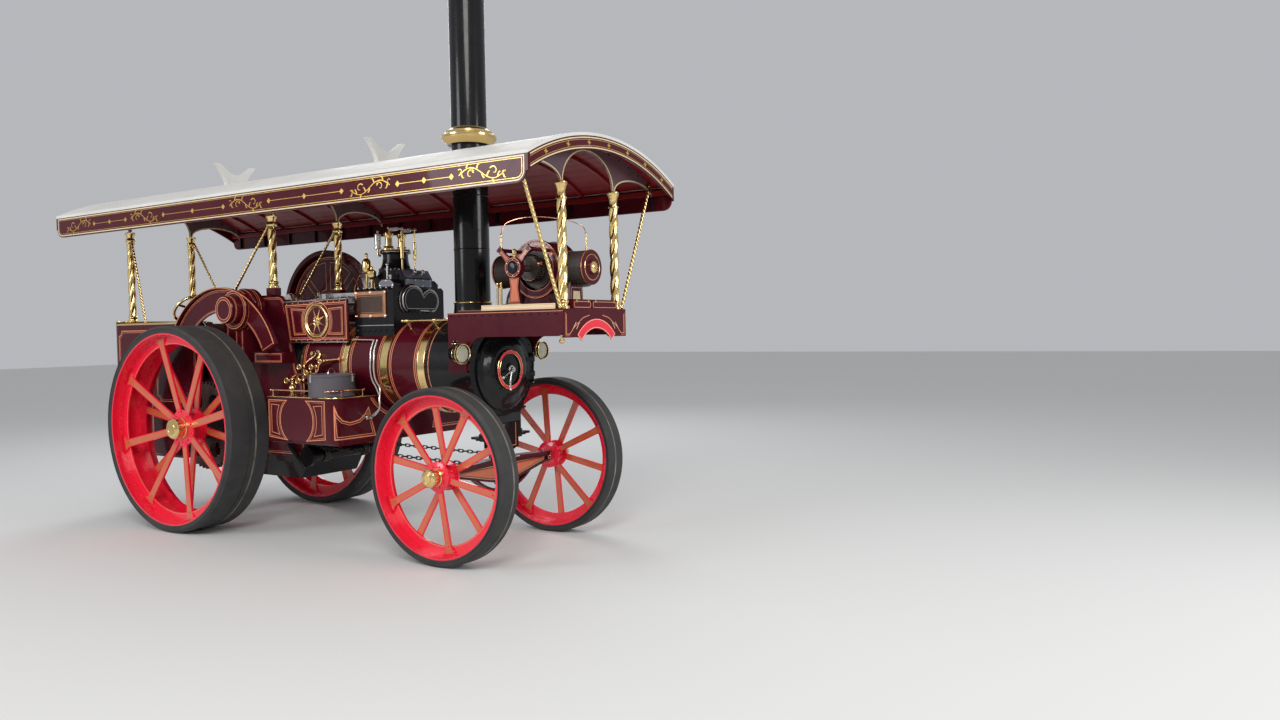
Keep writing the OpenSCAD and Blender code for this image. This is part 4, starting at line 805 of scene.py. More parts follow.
columns = Piece("twisted_columns", "brass", angle=50)
for cx, half, z0 in COLUMNS:
    h = CUSP_Z - 0.0003 - z0
    for side in (-1, 1):
        p = at(cx, side * half, z0)
        columns.turned(p, UP, COLUMN_BASE, 40)
        twisted(columns, p + Vector((0, 0, 0.070)), p + Vector((0, 0, h - 0.136)), COLUMN_TWIST)
        columns.turned(p, UP, [(h - depth, r) for depth, r in COLUMN_CAP], 40)
stays = Piece("twisted_stays", "brass", angle=50)
stay_ends = []
for side in (-1, 1):
    x = COLUMNS[0][0] + 0.0243
    stay_ends.append((at(x, side * 0.472, 2.213), at(x, side * 1.012, 3.400), 0.0165))
    for (cx, half, _), foot in ((COLUMNS[1], (0.060, side * 0.4385, 2.340)),
                                (COLUMNS[2], (-1.270, side * 0.560, 2.182))):
        top, foot = at(cx, side * half, CUSP_Z - 0.112), at(*foot)
        out = Vector((foot.x - top.x, foot.y - top.y, 0)).normalized()
        stay_ends.append((top + Vector((0, 0, 0.020)) + out * 0.048, foot, 0.0138))
        stays.turned(top, UP, STAY_COLLAR, 32)
for a, b, r in stay_ends:
    stay(a, b, r)

# Boiler: lining, beads and rivets
lining = Piece("body_lining", "line")
for x0, x1 in BANDS:
    for x in (x0 - 0.024, x0 - 0.046, x1 + 0.024, x1 + 0.046):
        if x < BARREL_END:
            lining.hoop(at(x, 0, BOILER_Z), BARREL_R, 0.0085, 72)
for x, width in ((3.012, 0.0085), (1.300, 0.008), (1.322, 0.008)):
    lining.hoop(at(x, 0, BOILER_Z), BARREL_R, width, 72)
beads = Piece("band_beads", "brass")
for x0, x1 in (BANDS[0], BANDS[2]):
    for x in (x0 + 0.004, x1 - 0.004):
        beads.torus(at(x, 0, BOILER_Z), AHEAD, BARREL_R + 0.0080, 0.003, 96, 6)
joint = Piece("barrel_joint_strip", "brass")
joint.hoop(at(1.262, 0, BOILER_Z), BARREL_R, 0.022, 72, thick=0.003)
rivets = Piece("smokebox_rivets", "black")
for c, s in around(44):
    for x in (3.003, 3.475):
        rivets.dome(at(x, BARREL_R * c, BOILER_Z + BARREL_R * s), (0, c, s), 0.009)
rivets.domes(on_x(circle(0, BOILER_Z, 0.432, 36, 5, 365), 3.530), AHEAD, 0.009)
rivets.domes(on_z(circle(CHIMNEY_X, 0, 0.186, 24), BOILER_Z + 0.460), UP, 0.0085)

# Smokebox door: studs round the edge, the centre handles, a blank ring plate and strap bolts
door = Piece("door_fittings", "black", "smokebox_door")
bright = Piece("door_handles", "steel", "smokebox_door")
door.domes(on_x(circle(0, DOOR_Z, 0.364, 12, 15, 375), DOOR_X + 0.026), AHEAD, 0.010)
for z in (-0.057, 0.083):
    for y in (0.355, 0.300, 0.245):
        door.dome(at(DOOR_X + 0.043, y, DOOR_Z + z), AHEAD, 0.009)
badge = Piece("door_ring_plate", "crimson", "smokebox_door")
badge_edge = Piece("door_ring_edges", "brass", "smokebox_door")
badge.grid([on_x(circle(0, DOOR_Z, r, 64), DOOR_X + x)
            for x, r in ((0.0865, 0.153), (0.0905, 0.153), (0.0905, 0.181), (0.0865, 0.181))], loop=True)
for r in (0.152, 0.182):
    badge_edge.torus(at(DOOR_X + 0.089, 0, DOOR_Z), AHEAD, r, 0.0028, 72, 6)
boss = [(0, 0.040), (0.010, 0.040), (0.014, 0.026), (0.034, 0.024)]
bright.turned(at(DOOR_X + 0.095, 0, DOOR_Z), AHEAD, boss, 24)
for angle, x in ((200, 0.026), (250, 0.012)):
    d, p = Vector((0, *polar(angle))), at(DOOR_X + 0.095 + x, 0, DOOR_Z)
    handle = [p + d * r + Vector((dx, 0, 0))
              for r, dx in ((0, 0), (0.06, 0), (0.13, 0.012), (0.185, 0.026), (0.19, 0.027))]
    bright.tube(handle[:4], [0.012, 0.010, 0.009, 0.011])
    bright.ball(handle[4], 0.016)
hinge_pin = Piece("hinge_pin_heads", "steel")
for sign in (-1, 1):
    hinge_pin.dome(at(3.555, 0.42, DOOR_Z + sign * 0.138), (0, 0, sign), 0.014, n=12)

# Handrails with ball stanchions, and the pipes down the side
rails = Piece("handrails", "brass")
for side in (-1, 1):
    y, z = side * 0.330, 2.137
    rails.tube([at(x, y, z) for x in (2.580, 2.640, 3.345)], 0.0105, 14)
    for x in (2.640, 2.990, 3.300):
        foot = at(x, side * 0.2735, BOILER_Z + 0.3580)
        rails.tube([foot, at(x, y, z)], [0.011, 0.008])
        rails.ball(at(x, y, z), 0.021, 16)
        rails.turned(foot, (0, side * 0.607, 0.795), [(-0.002, 0.020), (0.006, 0.020), (0.010, 0.012)], 16)
    for x in (2.580, 2.612, 3.345):
        rails.ball(at(x, y, z), 0.016)
pipes = Piece("bright_pipes", "steel")


def bent(points, side=1, steps=6):
    """A smooth path through places (x, y, z), with Y turned to one side."""
    return smooth_path([at(x, side * y, z) for x, y, z in points], steps)


for side in (-1, 1):
    for dx in (0.0, 0.046):
        pipes.tube(bent([(2.262 + dx, 0.400, 1.960), (2.272 + dx, 0.452, 1.860), (2.290 + dx, 0.474, 1.780),
                         (2.288 + dx, 0.479, 1.680), (2.296 + dx, 0.468, 1.580), (2.322 + dx, 0.440, 1.495),
                         (2.350 + dx, 0.428 + dx, 1.400), (2.352 + dx, 0.440 + dx, 1.300),
                         (2.300, 0.452 + dx, 1.235), (2.236, 0.454 + dx, 1.215)], side), 0.0095)
    for y in (0.454, 0.500):
        pipes.turned(at(2.242, side * y, 1.215), AHEAD, [(-0.001, 0.022), (0.012, 0.022), (0.016, 0.014)], 6)

# Pieces that gather the body's lines and small fittings
fine = Piece("body_fine_lines", "line")
cream = Piece("body_cream_lines", "cream")
copper = Piece("copper_work", "copper")
brass = Piece("brass_fittings", "brass")
steel = Piece("bright_fittings", "steel")
black = Piece("black_fittings", "black")
gold_star = Piece("gilt_stars", "gold")


def double_line(outline, place, level, normal, wide, thin, pieces=(lining, fine)):
    """Two painted lines inside an outline, each as (distance in, width); place is on_x or on_y."""
    for (margin, width), piece in zip((wide, thin), pieces):
        piece.ribbon(place(inset(outline, margin), level), width, normal, closed=True)


def star(piece, centre, normal, across, r_out, r_in, points, thick):
    """A raised star of thin facets round a centre."""
    n, u = Vector(normal).normalized(), Vector(across).normalized()
    v = n.cross(u)
    rim = [centre + (u * c + v * s) * (r_in if i % 2 else r_out)
           for i, (c, s) in enumerate(around(points * 2))]
    m = len(rim)
    steps = [(i, (i + 1) % m) for i in range(m)]
    faces = [(0, 1 + i, 1 + k) for i, k in steps]
    faces += [(1 + i, 1 + m + i, 1 + m + k, 1 + k) for i, k in steps]
    faces += [(1 + 2 * m, 1 + m + k, 1 + m + i) for i, k in steps]
    piece.add([centre + n * thick, *rim, *[p - n * 0.0005 for p in rim], centre - n * 0.0005], faces)


# Motion side panels: a rosette between two hollow panels
rosettes = Piece("panel_rosettes", "brass")
ROSETTE = (1.492, 2.156)
ROSETTE_BOSS = [(-0.001, 0.028), (0.014, 0.028), (0.020, 0.021), (0.030, 0.019), (0.035, 0.010), (0.037, 0)]
for side in (-1, 1):
    y, n = side * 0.4374, (0, side, 0)
    double_line([(0.995, 2.345), (1.946, 2.362), (1.946, 1.950), (1.064, 1.950)], on_y, y, n,
                (0.024, 0.009), (0.040, 0.004))
    for sx, x_low, x_high in ((-1, 1.150, 1.108), (1, 1.868, 1.868)):
        bow = [(ROSETTE[0] + sx * 0.215 * c, ROSETTE[1] + 0.215 * s)
               for c, s in map(polar, range(-38, 39, 8))]
        double_line([(x_low, 2.020), *bow, (x_high, 2.288)], on_y, y, n, (0, 0.008), (0.015, 0.004))
    p = at(ROSETTE[0], y, ROSETTE[1])
    lining.ribbon(on_y(circle(*ROSETTE, 0.196, 72), y + side * 0.0002), 0.008, n, closed=True)
    for big, small, count, sides in ((0.161, 0.0150, 72, 12), (0.140, 0.0040, 72, 8), (0.047, 0.0045, 48, 8)):
        rosettes.torus(p, n, big, small, count, sides)
    star(rosettes, p, n, (1, 0, 0.4), 0.136, 0.030, 8, 0.011)
    rosettes.turned(p, n, ROSETTE_BOSS, 24)
    for x, z0, z1 in ((1.000, 2.357, 2.369), (1.075, 1.943, 1.943)):
        steel.tube([at(x, side * 0.441, z0), at(1.945, side * 0.441, z1)], 0.0085)
    for i in range(11):
        x = 1.045 + 0.088 * i
        brass.dome(at(x, y, 2.350 - 0.0126 * (1 - (0.03 + 0.09 * i) / 0.95)), n, 0.0062)
        if i < 10:
            brass.dome(at(x + 0.040, y, 1.962), n, 0.0062)

# Cylinder block: side plates and valve chests
bronze = Piece("block_side_plates", "bronze")
slate = Piece("chest_panels", "slate")
CHEST = [(2.2405, 2.472), (2.2405, 2.514), (2.281, 2.545), (2.399, 2.545), (2.449, 2.505), (2.449, 2.472)]
CHEST_KNOB = [(0, 0.020), (0.006, 0.020), (0.009, 0.010), (0.022, 0.010), (0.026, 0.019), (0.044, 0.021),
              (0.056, 0.012), (0.060, 0)]
SLOPE_KNOB = [(-0.002, 0.018), (0.008, 0.018), (0.012, 0.009), (0.026, 0.009), (0.030, 0.017), (0.042, 0.021),
              (0.054, 0.016), (0.060, 0)]
for side in (-1, 1):
    y, n = side * 0.345, (0, side, 0)
    plate = rectangle(1.962, 2.384, 2.182, 2.430)
    bronze.slab(on_y(plate, y), n, 0.004)
    copper.ribbon(on_y(inset(plate, 0.0155), y + side * 0.003), 0.032, n, closed=True, thick=0.007)
    copper.ribbon(on_y(inset(plate, 0.044), y + side * 0.0042), 0.004, n, closed=True, thick=0.0015)
    for x in (1.972, 2.173, 2.374):
        for z in (2.192, 2.420):
            copper.slab(on_y(circle(x, z, 0.019, 16), y + side * 0.004), n, 0.008)
            steel.nut(at(x, y + side * 0.012, z), n, 0.009, 0.007)
    slate.slab(on_y(inset(CHEST, 0.004), side * 0.300), n, 0.0022)
    fine.ribbon(on_y(inset(CHEST, 0.014), side * 0.3022), 0.0035, n, closed=True)
    steel.nuts(on_y([(2.262, 2.486), (2.430, 2.486), (2.345, 2.530)], side * 0.3022), n, 0.009, 0.008)
    steel.turned(at(2.345, side * 0.243, 2.545), UP, CHEST_KNOB, 20)
slate.slab(on_x(inset(rectangle(-0.182, 0.182, 2.470, 2.552), 0.004), 2.478), AHEAD, 0.0022)
slope = Vector((0.086, 0, 0.058)).normalized()
slate.slab([at(2.478 - 0.058 * t, y, 2.556 + 0.086 * t) for y, t in
            ((-0.178, 0.06), (0.178, 0.06), (0.178, 0.95), (-0.178, 0.95))], slope, 0.0022)
steel.nuts([at(2.4802, y, z) for y in (-0.15, -0.05, 0.05, 0.15) for z in (2.488, 2.540)], AHEAD, 0.0095,
           0.008)
for y in (-0.055, 0.055):
    steel.turned(at(2.452, y, 2.602), slope, SLOPE_KNOB, 20)
steel.nuts([at(x, y, 2.642) for y in (-0.165, 0.165) for x in (2.27, 2.38)], UP, 0.009, 0.008)

# Front cylinder cover: two lobes, cut flat below
covers = Piece("cover_rims", "steel")
dark = Piece("cover_discs", "black")
LOBES = ((-0.110, 2.340, 0.158), (0.120, 2.335, 0.127))     # y, z and radius
COVER_FLAT = 2.221


def cover_edge():
    """The outline of the cover's two lobes, cut flat below."""
    (y0, z0, r0), (y1, z1, r1) = LOBES
    span = Vector((y1 - y0, z1 - z0))
    along = (span.length_squared + r0 * r0 - r1 * r1) / (2 * span.length)
    across = math.sqrt(r0 * r0 - along * along)
    top = Vector((y0, z0)) + span.normalized() * along + Vector((-span.y, span.x)).normalized() * across
    first = spaced(math.pi + math.asin((z0 - COVER_FLAT) / r0), math.atan2(top.y - z0, top.x - y0), 32)
    second = spaced(math.atan2(top.y - z1, top.x - y1), -math.asin((z1 - COVER_FLAT) / r1), 24)[1:]
    return [(y + r * math.cos(t), z + r * math.sin(t))
            for (y, z, r), turns in zip(LOBES, (first, second)) for t in turns]


covers.tube(on_x(inset(cover_edge(), 0.0175), 2.5105), 0.0085, 10, loop=True)
dark.slab(on_x(inset(cover_edge(), 0.027), 2.5238), AHEAD, 0.0010, 0.0085)
covers.ribbon(on_x(inset(cover_edge(), 0.037), 2.5248), 0.003, AHEAD, closed=True)
for y, z, r in LOBES:
    a = math.degrees(math.asin((z - COVER_FLAT - 0.003) / r))
    covers.torus(at(2.489, y, z), AHEAD, r + 0.0010, 0.0042, 72, 8, -a, 180 + a, LEFT)

# Nuts along the block's foot and its top edge
for side in (-1, 1):
    xs = [1.985 + 0.078 * i for i in range(7)]
    black.nuts([at(x, side * 0.345, 2.050) for x in xs], (0, side, 0), 0.013, 0.012)
    steel.nuts([at(x, side * 0.330, 2.462) for x in xs], (0, side * 0.35, 0.9), 0.010, 0.010)
    steel.ribbon(on_y([(1.953, 2.100), (2.478, 2.100)], side * 0.3455), 0.006, (0, side, 0), thick=0.002)

# Valves on the pedestal: lever arms with spring balances, whistle, lubricators, small cocks
SPRING_BALANCE = [(0, 0.020), (0.008, 0.020), (0.012, 0.009), (0.110, 0.009), (0.118, 0.017), (0.280, 0.017),
                  (0.290, 0.009), (0.420, 0.007), (0.424, 0.012), (0.436, 0)]
WHISTLE = [(0, 0.020), (0.006, 0.034), (0.028, 0.034), (0.030, 0.026), (0.042, 0.026), (0.044, 0.033),
           (0.150, 0.033), (0.160, 0.024), (0.166, 0.010), (0.180, 0.010), (0.184, 0.014), (0.194, 0.008)]
LUBRICATOR = [(0.010, 0.026), (0.014, 0.013)]       # its foot; the rest is in parts of its height
LUBRICATOR_TOP = [(0.40, 0.013), (0.44, 0.022), (0.50, 0.040), (0.54, 0.043), (0.76, 0.043), (0.80, 0.036),
                  (0.86, 0.014), (0.93, 0.012), (0.96, 0.018), (1.00, 0.006)]
for y in (-0.088, 0.088):
    steel.tube([at(2.165, y, 3.062), at(2.372, y, 3.048)], 0.0065, 8)
    steel.box(at(2.180, y - 0.010, 3.036), at(2.300, y + 0.010, 3.070), 0.003)
    brass.turned(at(2.350, y, 2.640), UP, SPRING_BALANCE, 20)
    for z, r in ((2.866, 0.048), (2.884, 0.048), (3.006, 0.047)):
        brass.torus(at(2.170, y, z), UP, r, 0.004, 36, 6)
brass.torus(at(2.170, 0, 2.834), UP, 0.151, 0.006, 64, 8)
steel.nuts(on_z(circle(2.170, 0, 0.136, 12), 2.850), UP, 0.010, 0.010)
brass.tube(bent([(2.060, -0.100, 2.800), (2.040, -0.100, 2.806), (2.030, -0.100, 2.830),
                 (2.030, -0.100, 2.870)], 1, 4), 0.012)
steel.turned(at(2.030, -0.100, 2.862), UP, WHISTLE, 28)
for x, y, h in ((1.970, -0.200, 0.36), (2.100, -0.255, 0.22), (1.980, 0.180, 0.30)):
    profile = [(0, 0.026), *LUBRICATOR, *[(h * part, r) for part, r in LUBRICATOR_TOP]]
    brass.turned(at(x, y, 2.465), UP, profile, 28)
steel.tube([at(2.300, -0.240, 2.540), at(2.300, -0.240, 2.690)], 0.009)
steel.ball(at(2.300, -0.240, 2.694), 0.016)
for path in ([(1.970, -0.200, 2.640), (1.940, -0.240, 2.620), (1.925, -0.300, 2.520),
              (1.932, -0.330, 2.440)],
             [(2.100, -0.255, 2.560), (2.140, -0.280, 2.580), (2.180, -0.300, 2.540),
              (2.200, -0.318, 2.463)]):
    copper.tube(bent(path, 1, 5), 0.006, 8)
for side in (-1, 1):
    steel.tube([at(1.948, side * 0.398, 1.966), at(2.262, side * 0.400, 1.960)], 0.0095)
brass.turned(at(1.955, -0.398, 1.966), AHEAD, [(0, 0.018), (0.030, 0.018), (0.034, 0.011)], 6)

# Gear covers: lines on the faces and edges of the crankshaft's guard and the rear wheel's
GUARD = (0.240, 1.575)      # centre of the large guard
for y, r, width in ((-0.5732, 0.2140, 0.008), (-0.6732, 0.1945, 0.009), (-0.6732, 0.173, 0.006),
                    (-0.7902, 0.128, 0.009), (-0.7902, 0.103, 0.009)):
    lining.ribbon(on_y(circle(*CRANK, r, 72), y), width, RIGHT, closed=True)
for r, wide_y, thin_y in ((0.2253, -0.505, -0.530), (0.2063, -0.625, -0.640), (0.1423, -0.735, -0.747)):
    for y, width in ((wide_y, 0.006), (thin_y, 0.003)):
        lining.hoop(at(CRANK[0], y, CRANK[1]), r, width, 72, LEFT)
for r, width in ((0.930, 0.008), (0.912, 0.0035), (0.728, 0.0035), (0.716, 0.007)):
    path = [(GUARD[0] + r * c, GUARD[1] + r * s) for c, s in map(polar, range(146, 23, -3))]
    lining.ribbon(on_y(path, -0.6324), width, RIGHT)
for c, s in (polar(146), polar(24)):
    path = [(GUARD[0] + r * c, GUARD[1] + r * s) for r in (0.716, 0.930)]
    lining.ribbon(on_y(path, -0.6324), 0.007, RIGHT)
lining.torus(at(GUARD[0], -0.671, GUARD[1]), RIGHT, 0.9535, 0.006, 96, 6, 22, 148, AHEAD)
for piece, xs, top, width in ((lining, (0.448, 0.552), 2.075, 0.006), (fine, (0.460, 0.540), 2.070, 0.003)):
    for x in xs:
        piece.ribbon(on_y([(x, 1.760), (x, top)], -0.6122), width, RIGHT)
double_line(rectangle(0.662, 1.108, 1.732, 1.848), on_y, -0.5602, RIGHT, (0.016, 0.006), (0.028, 0.003))

# Hornplates: double lines and rivets
HORN = [(-0.210, 0.760), (-0.210, 1.560), (-0.060, 1.600), (-0.018, 1.650), (0.000, 1.740), (0.010, 2.270),
        (0.030, 2.360), (0.090, 2.420), (0.160, 2.440), (0.900, 2.440), (0.960, 2.420), (1.000, 2.370),
        (1.068, 2.150), (1.100, 1.900), (1.150, 1.680), (1.250, 1.500), (1.250, 0.760)]
rivets_horn = Piece("hornplate_rivets", "maroon")
rivet_path = [Vector(p) for p in inset(HORN, 0.016)]
for side in (-1, 1):
    n = (0, side, 0)
    double_line(HORN, on_y, side * 0.4232, n, (0.030, 0.008), (0.047, 0.0035))
    for a, b in zip(rivet_path, rivet_path[1:] + rivet_path[:1]):
        count = int((b - a).length / 0.06)
        for k in range(count):
            q = a + (b - a) * (k + 0.5) / count
            rivets_horn.dome(at(q.x, side * 0.423, q.y), n, 0.0085, n=6)

# Flywheel: lining and stars on both faces, tread and hub
disc = Piece("flywheel_lining", "line", "flywheel")
rim = Piece("flywheel_tread", "steel", "flywheel")
hub = Piece("flywheel_fittings", "brass", "flywheel")
wheel_star = Piece("flywheel_star", "gold", "flywheel")
HUB_CAP = [(-0.001, 0.060), (0.014, 0.060), (0.018, 0.052), (0.020, 0.030), (0.034, 0.028), (0.038, 0.018),
           (0.040, 0)]
for y, side in ((0.5832, 1), (0.5668, -1)):
    n = (0, side, 0)
    for r, width in ((0.612, 0.009), (0.592, 0.004), (0.185, 0.009), (0.205, 0.004)):
        disc.ribbon(on_y(circle(*CRANK, r, 96), y), width, n, closed=True)
    for a in range(4, 360, 45):
        shape = circle(*CRANK, 0.555, 10, a, a + 37) + circle(*CRANK, 0.245, 8, a + 4, a + 33)[::-1]
        disc.ribbon(on_y(shape, y), 0.006, n, closed=True)
    star(wheel_star, at(CRANK[0], y, CRANK[1]), n, (1, 0, 0.41), 0.175, 0.128, 16, 0.003)
for r, width, count in ((0.666, 0.008, 120), (0.682, 0.003, 120), (0.105, 0.006, 48)):
    disc.ribbon(on_y(circle(*CRANK, r, count), 0.6502), width, LEFT, closed=True)
rim.hoop(at(CRANK[0], 0.575, CRANK[1]), 0.690, 0.132, 120, LEFT, 0.0012)
hub.turned(at(CRANK[0], 0.650, CRANK[1]), LEFT, HUB_CAP, 32)
hub.domes(on_y(circle(*CRANK, 0.085, 8), 0.650), LEFT, 0.009)

# Crankshaft bearings: caps, oilers and nuts
OILER = [(0, 0.022), (0.006, 0.022), (0.010, 0.012), (0.024, 0.012), (0.028, 0.026), (0.070, 0.028),
         (0.076, 0.020), (0.080, 0.008), (0.090, 0)]
steel.torus(at(CRANK[0], 0.4535, CRANK[1]), LEFT, 0.092, 0.005, 48, 6)
for side in (-1, 1):
    black.box(at(0.395, side * 0.424, 2.395), at(0.605, side * 0.452, 2.425), 0.006)
    brass.turned(at(0.500, side * 0.438, 2.424), UP, OILER, 24)
    steel.nuts([at(x, side * 0.438, 2.425) for x in (0.425, 0.575)], UP, 0.013, 0.014)

# Water tank: panels of line on its front and sides
TANK_X, TANK_CORNER_X, TANK_CORNER_Y, TANK_CORNER_R = 2.240, 2.145, 0.785, 0.095
TANK_SIDE = (1.700, 1.200)      # middle of the tank's side
TANK_POCKET = [(0.393, 1.035), (0.472, 1.310), (0.520, 1.245), (0.589, 1.200), (0.701, 1.183), (0.790, 1.208),
               (0.840, 1.262), (0.868, 1.345), (0.868, 1.035)]


def tank_point(y, z, out=0.0002):
    """A place and the outward direction on the tank's front, carried round its rounded corners."""
    past = abs(y) - TANK_CORNER_Y
    if past <= 0:
        return at(TANK_X + out, y, z), AHEAD
    t = min(past / TANK_CORNER_R, math.pi / 2)
    c, s, side = math.cos(t), math.sin(t), (1 if y > 0 else -1)
    r = TANK_CORNER_R + out
    return at(TANK_CORNER_X + r * c, side * (TANK_CORNER_Y + r * s), z), (c, side * s, 0)


def tank_line(piece, points, width):
    """A closed line on the tank's front through (y, z) pairs, with points added where it is long."""
    pts = [Vector(p) for p in points]
    pairs = []
    for a, b in zip(pts, pts[1:] + pts[:1]):
        steps = max(1, int((b - a).length / 0.02))
        pairs += [tank_point(*(a + (b - a) * k / steps)) for k in range(steps)]
    piece.ribbon([q for q, _ in pairs], width, [n for _, n in pairs], closed=True)


def tank_side_lines(side):
    """Two panels at the ends of the tank's side, hollow towards the ring in the middle."""
    n, y = (0, side, 0), side * 0.8802
    cx, cz = TANK_SIDE
    for sx in (1, -1):
        bow = [(cx + sx * 0.236 * c, cz + 0.236 * s) for c, s in map(polar, range(-54, 55, 9))]
        outer = [(cx + sx * 0.402, 1.034), *bow, (cx + sx * 0.402, 1.392)]
        double_line(outer, on_y, y, n, (0, 0.0085), (0.016, 0.0045))
        bow = [(cx + sx * 0.285 * c, cz + 0.285 * s) for c, s in map(polar, range(-30, 31, 10))]
        inner = [(cx + sx * 0.362, 1.078), *bow, (cx + sx * 0.362, 1.350)]
        lining.ribbon(on_y(inner, y), 0.006, n, closed=True)


def tank_round(x0, side, corner_x, r, y1, z):
    """A path along the tank's side, round its front corner and along the front to y1."""
    corner = [at(corner_x + r * s, side * (TANK_CORNER_Y + r * c), z)
              for c, s in map(polar, range(15, 91, 15))]
    start = [at(x0, side * (TANK_CORNER_Y + r), z), at(corner_x, side * (TANK_CORNER_Y + r), z)]
    return start + corner + [at(corner_x + r, side * y1, z)]


# Beads and rails over the tank's lid, and its fillers
RAIL_POST = [(0, 0.018), (0.006, 0.018), (0.010, 0.008), (0.044, 0.007), (0.050, 0.014), (0.062, 0.015),
             (0.070, 0.009), (0.073, 0)]
FILLER = [(0, 0.044), (0.008, 0.044), (0.012, 0.034), (0.018, 0.018), (0.034, 0.015), (0.042, 0.024),
          (0.056, 0.036), (0.074, 0.041), (0.092, 0.037), (0.106, 0.026), (0.114, 0.013), (0.130, 0.011),
          (0.136, 0.018), (0.148, 0.018), (0.156, 0.010), (0.162, 0)]
for side in (-1, 1):
    pocket = mirrored(TANK_POCKET, side)
    tank_line(lining, pocket, 0.0115)
    tank_line(fine, inset(pocket, 0.021), 0.0065)
    tank_side_lines(side)
    brass.tube(tank_round(1.292, side, TANK_CORNER_X, 0.1035, 0.380, 1.424), 0.0052, 8)
    rail = tank_round(1.312, side, 2.120, 0.075, 0.480, 1.486)
    copper.tube(rail, 0.0085)
    for x, y in ((1.345, 0.860), (1.614, 0.860), (1.883, 0.860), (2.100, 0.860), (2.195, 0.760),
                 (2.195, 0.500)):
        copper.turned(at(x, side * y, 1.427), UP, RAIL_POST, 16)
    for q in (rail[0], rail[-1]):
        copper.ball(q, 0.013, 12)
    brass.turned(at(1.560, side * 0.800, 1.427), UP, FILLER, 32)
for r, width, piece in ((0.536, 0.0115, lining), (0.515, 0.0065, fine)):
    span = math.degrees(math.acos((BOILER_Z - 1.412) / r))
    points = [(r * s, BOILER_Z - r * c) for c, s in map(polar, spaced(-span, span, 60))]
    piece.ribbon(on_x(points, 2.2402), width, AHEAD)

# Drum on the right: bail handle and clips
DRUM = (1.985, -0.688)
steel.torus(at(*DRUM, 1.6415), (1, 0.3, 0), 0.055, 0.005, 40, 8, 0, 180, (-0.3, 1, 0))
for x, y in circle(*DRUM, 0.2155, 3, 20, 380):
    p = at(x, y, 1.595)
    steel.box(p - Vector((0.012, 0.012, 0.030)), p + Vector((0.012, 0.012, 0.034)), 0.004)
    steel.ball(p + Vector((0, 0, 0.036)), 0.009, 10)

# Pipes and valves beside the barrel
valves = Piece("pump_valves", "brass")
FLANGE = [(0, 0.050), (0.014, 0.050), (0.018, 0.034), (0.050, 0.030), (0.056, 0.022), (0.080, 0.020)]
# Each valve: x, z and size
VALVES = ((1.393, 1.700, 1.0), (1.488, 1.640, 0.9), (1.571, 1.700, 1.0), (1.686, 1.757, 0.8),
          (1.376, 1.560, 1.1), (1.203, 1.560, 1.1))


def valve(x, y, z, side, size):
    """A globe valve with its handwheel and two unions."""
    stem = [(0, 0.016 * size), (0.046 * size, 0.014 * size), (0.050 * size, 0.008), (0.070 * size, 0.008)]
    wheel_y, r = y + side * 0.068 * size, 0.026 * size
    valves.ball(at(x, y, z), 0.028 * size, 16)
    valves.turned(at(x, y, z), (0, side, 0), stem, 12)
    valves.torus(at(x, wheel_y, z), LEFT, r, 0.0045, 28, 8)
    valves.tube([at(x - r, wheel_y, z), at(x + r, wheel_y, z)], 0.004, 6)
    valves.tube([at(x, wheel_y, z - r), at(x, wheel_y, z + r)], 0.004, 6)
    for dx in (-0.032, 0.020):
        valves.turned(at(x + dx * size, y, z), AHEAD, [(0, 0.021 * size), (0.012 * size, 0.021 * size)], 6)


for side in (-1, 1):
    y, inward, inmost = 0.520, 0.520 * 0.97, 0.520 * 0.93
    copper.tube(bent([(1.190, y, 1.430), (1.195, y, 1.540), (1.215, y, 1.600), (1.300, y, 1.618),
                      (1.500, y, 1.622), (1.590, y, 1.650), (1.620, y, 1.720), (1.700, inward, 1.760),
                      (1.860, inmost, 1.775)], side), 0.013)
    copper.tube(bent([(1.380, y, 1.430), (1.380, y, 1.560), (1.390, y, 1.700), (1.440, inward, 1.760),
                      (1.500, inmost, 1.800)], side), 0.011)
    steel.tube([at(1.565, side * y, 1.430), at(1.565, side * y, 1.700)], 0.010)
    for x, z, size in VALVES:
        valve(x, side * y, z, side, size)
    brass.turned(at(1.500, side * 0.440, 1.812), (0, side * 0.9, 0.25), FLANGE, 24)
    steel.domes(on_y(circle(1.500, 1.816, 0.040, 8), side * 0.453), (0, side, 0), 0.006, n=6)

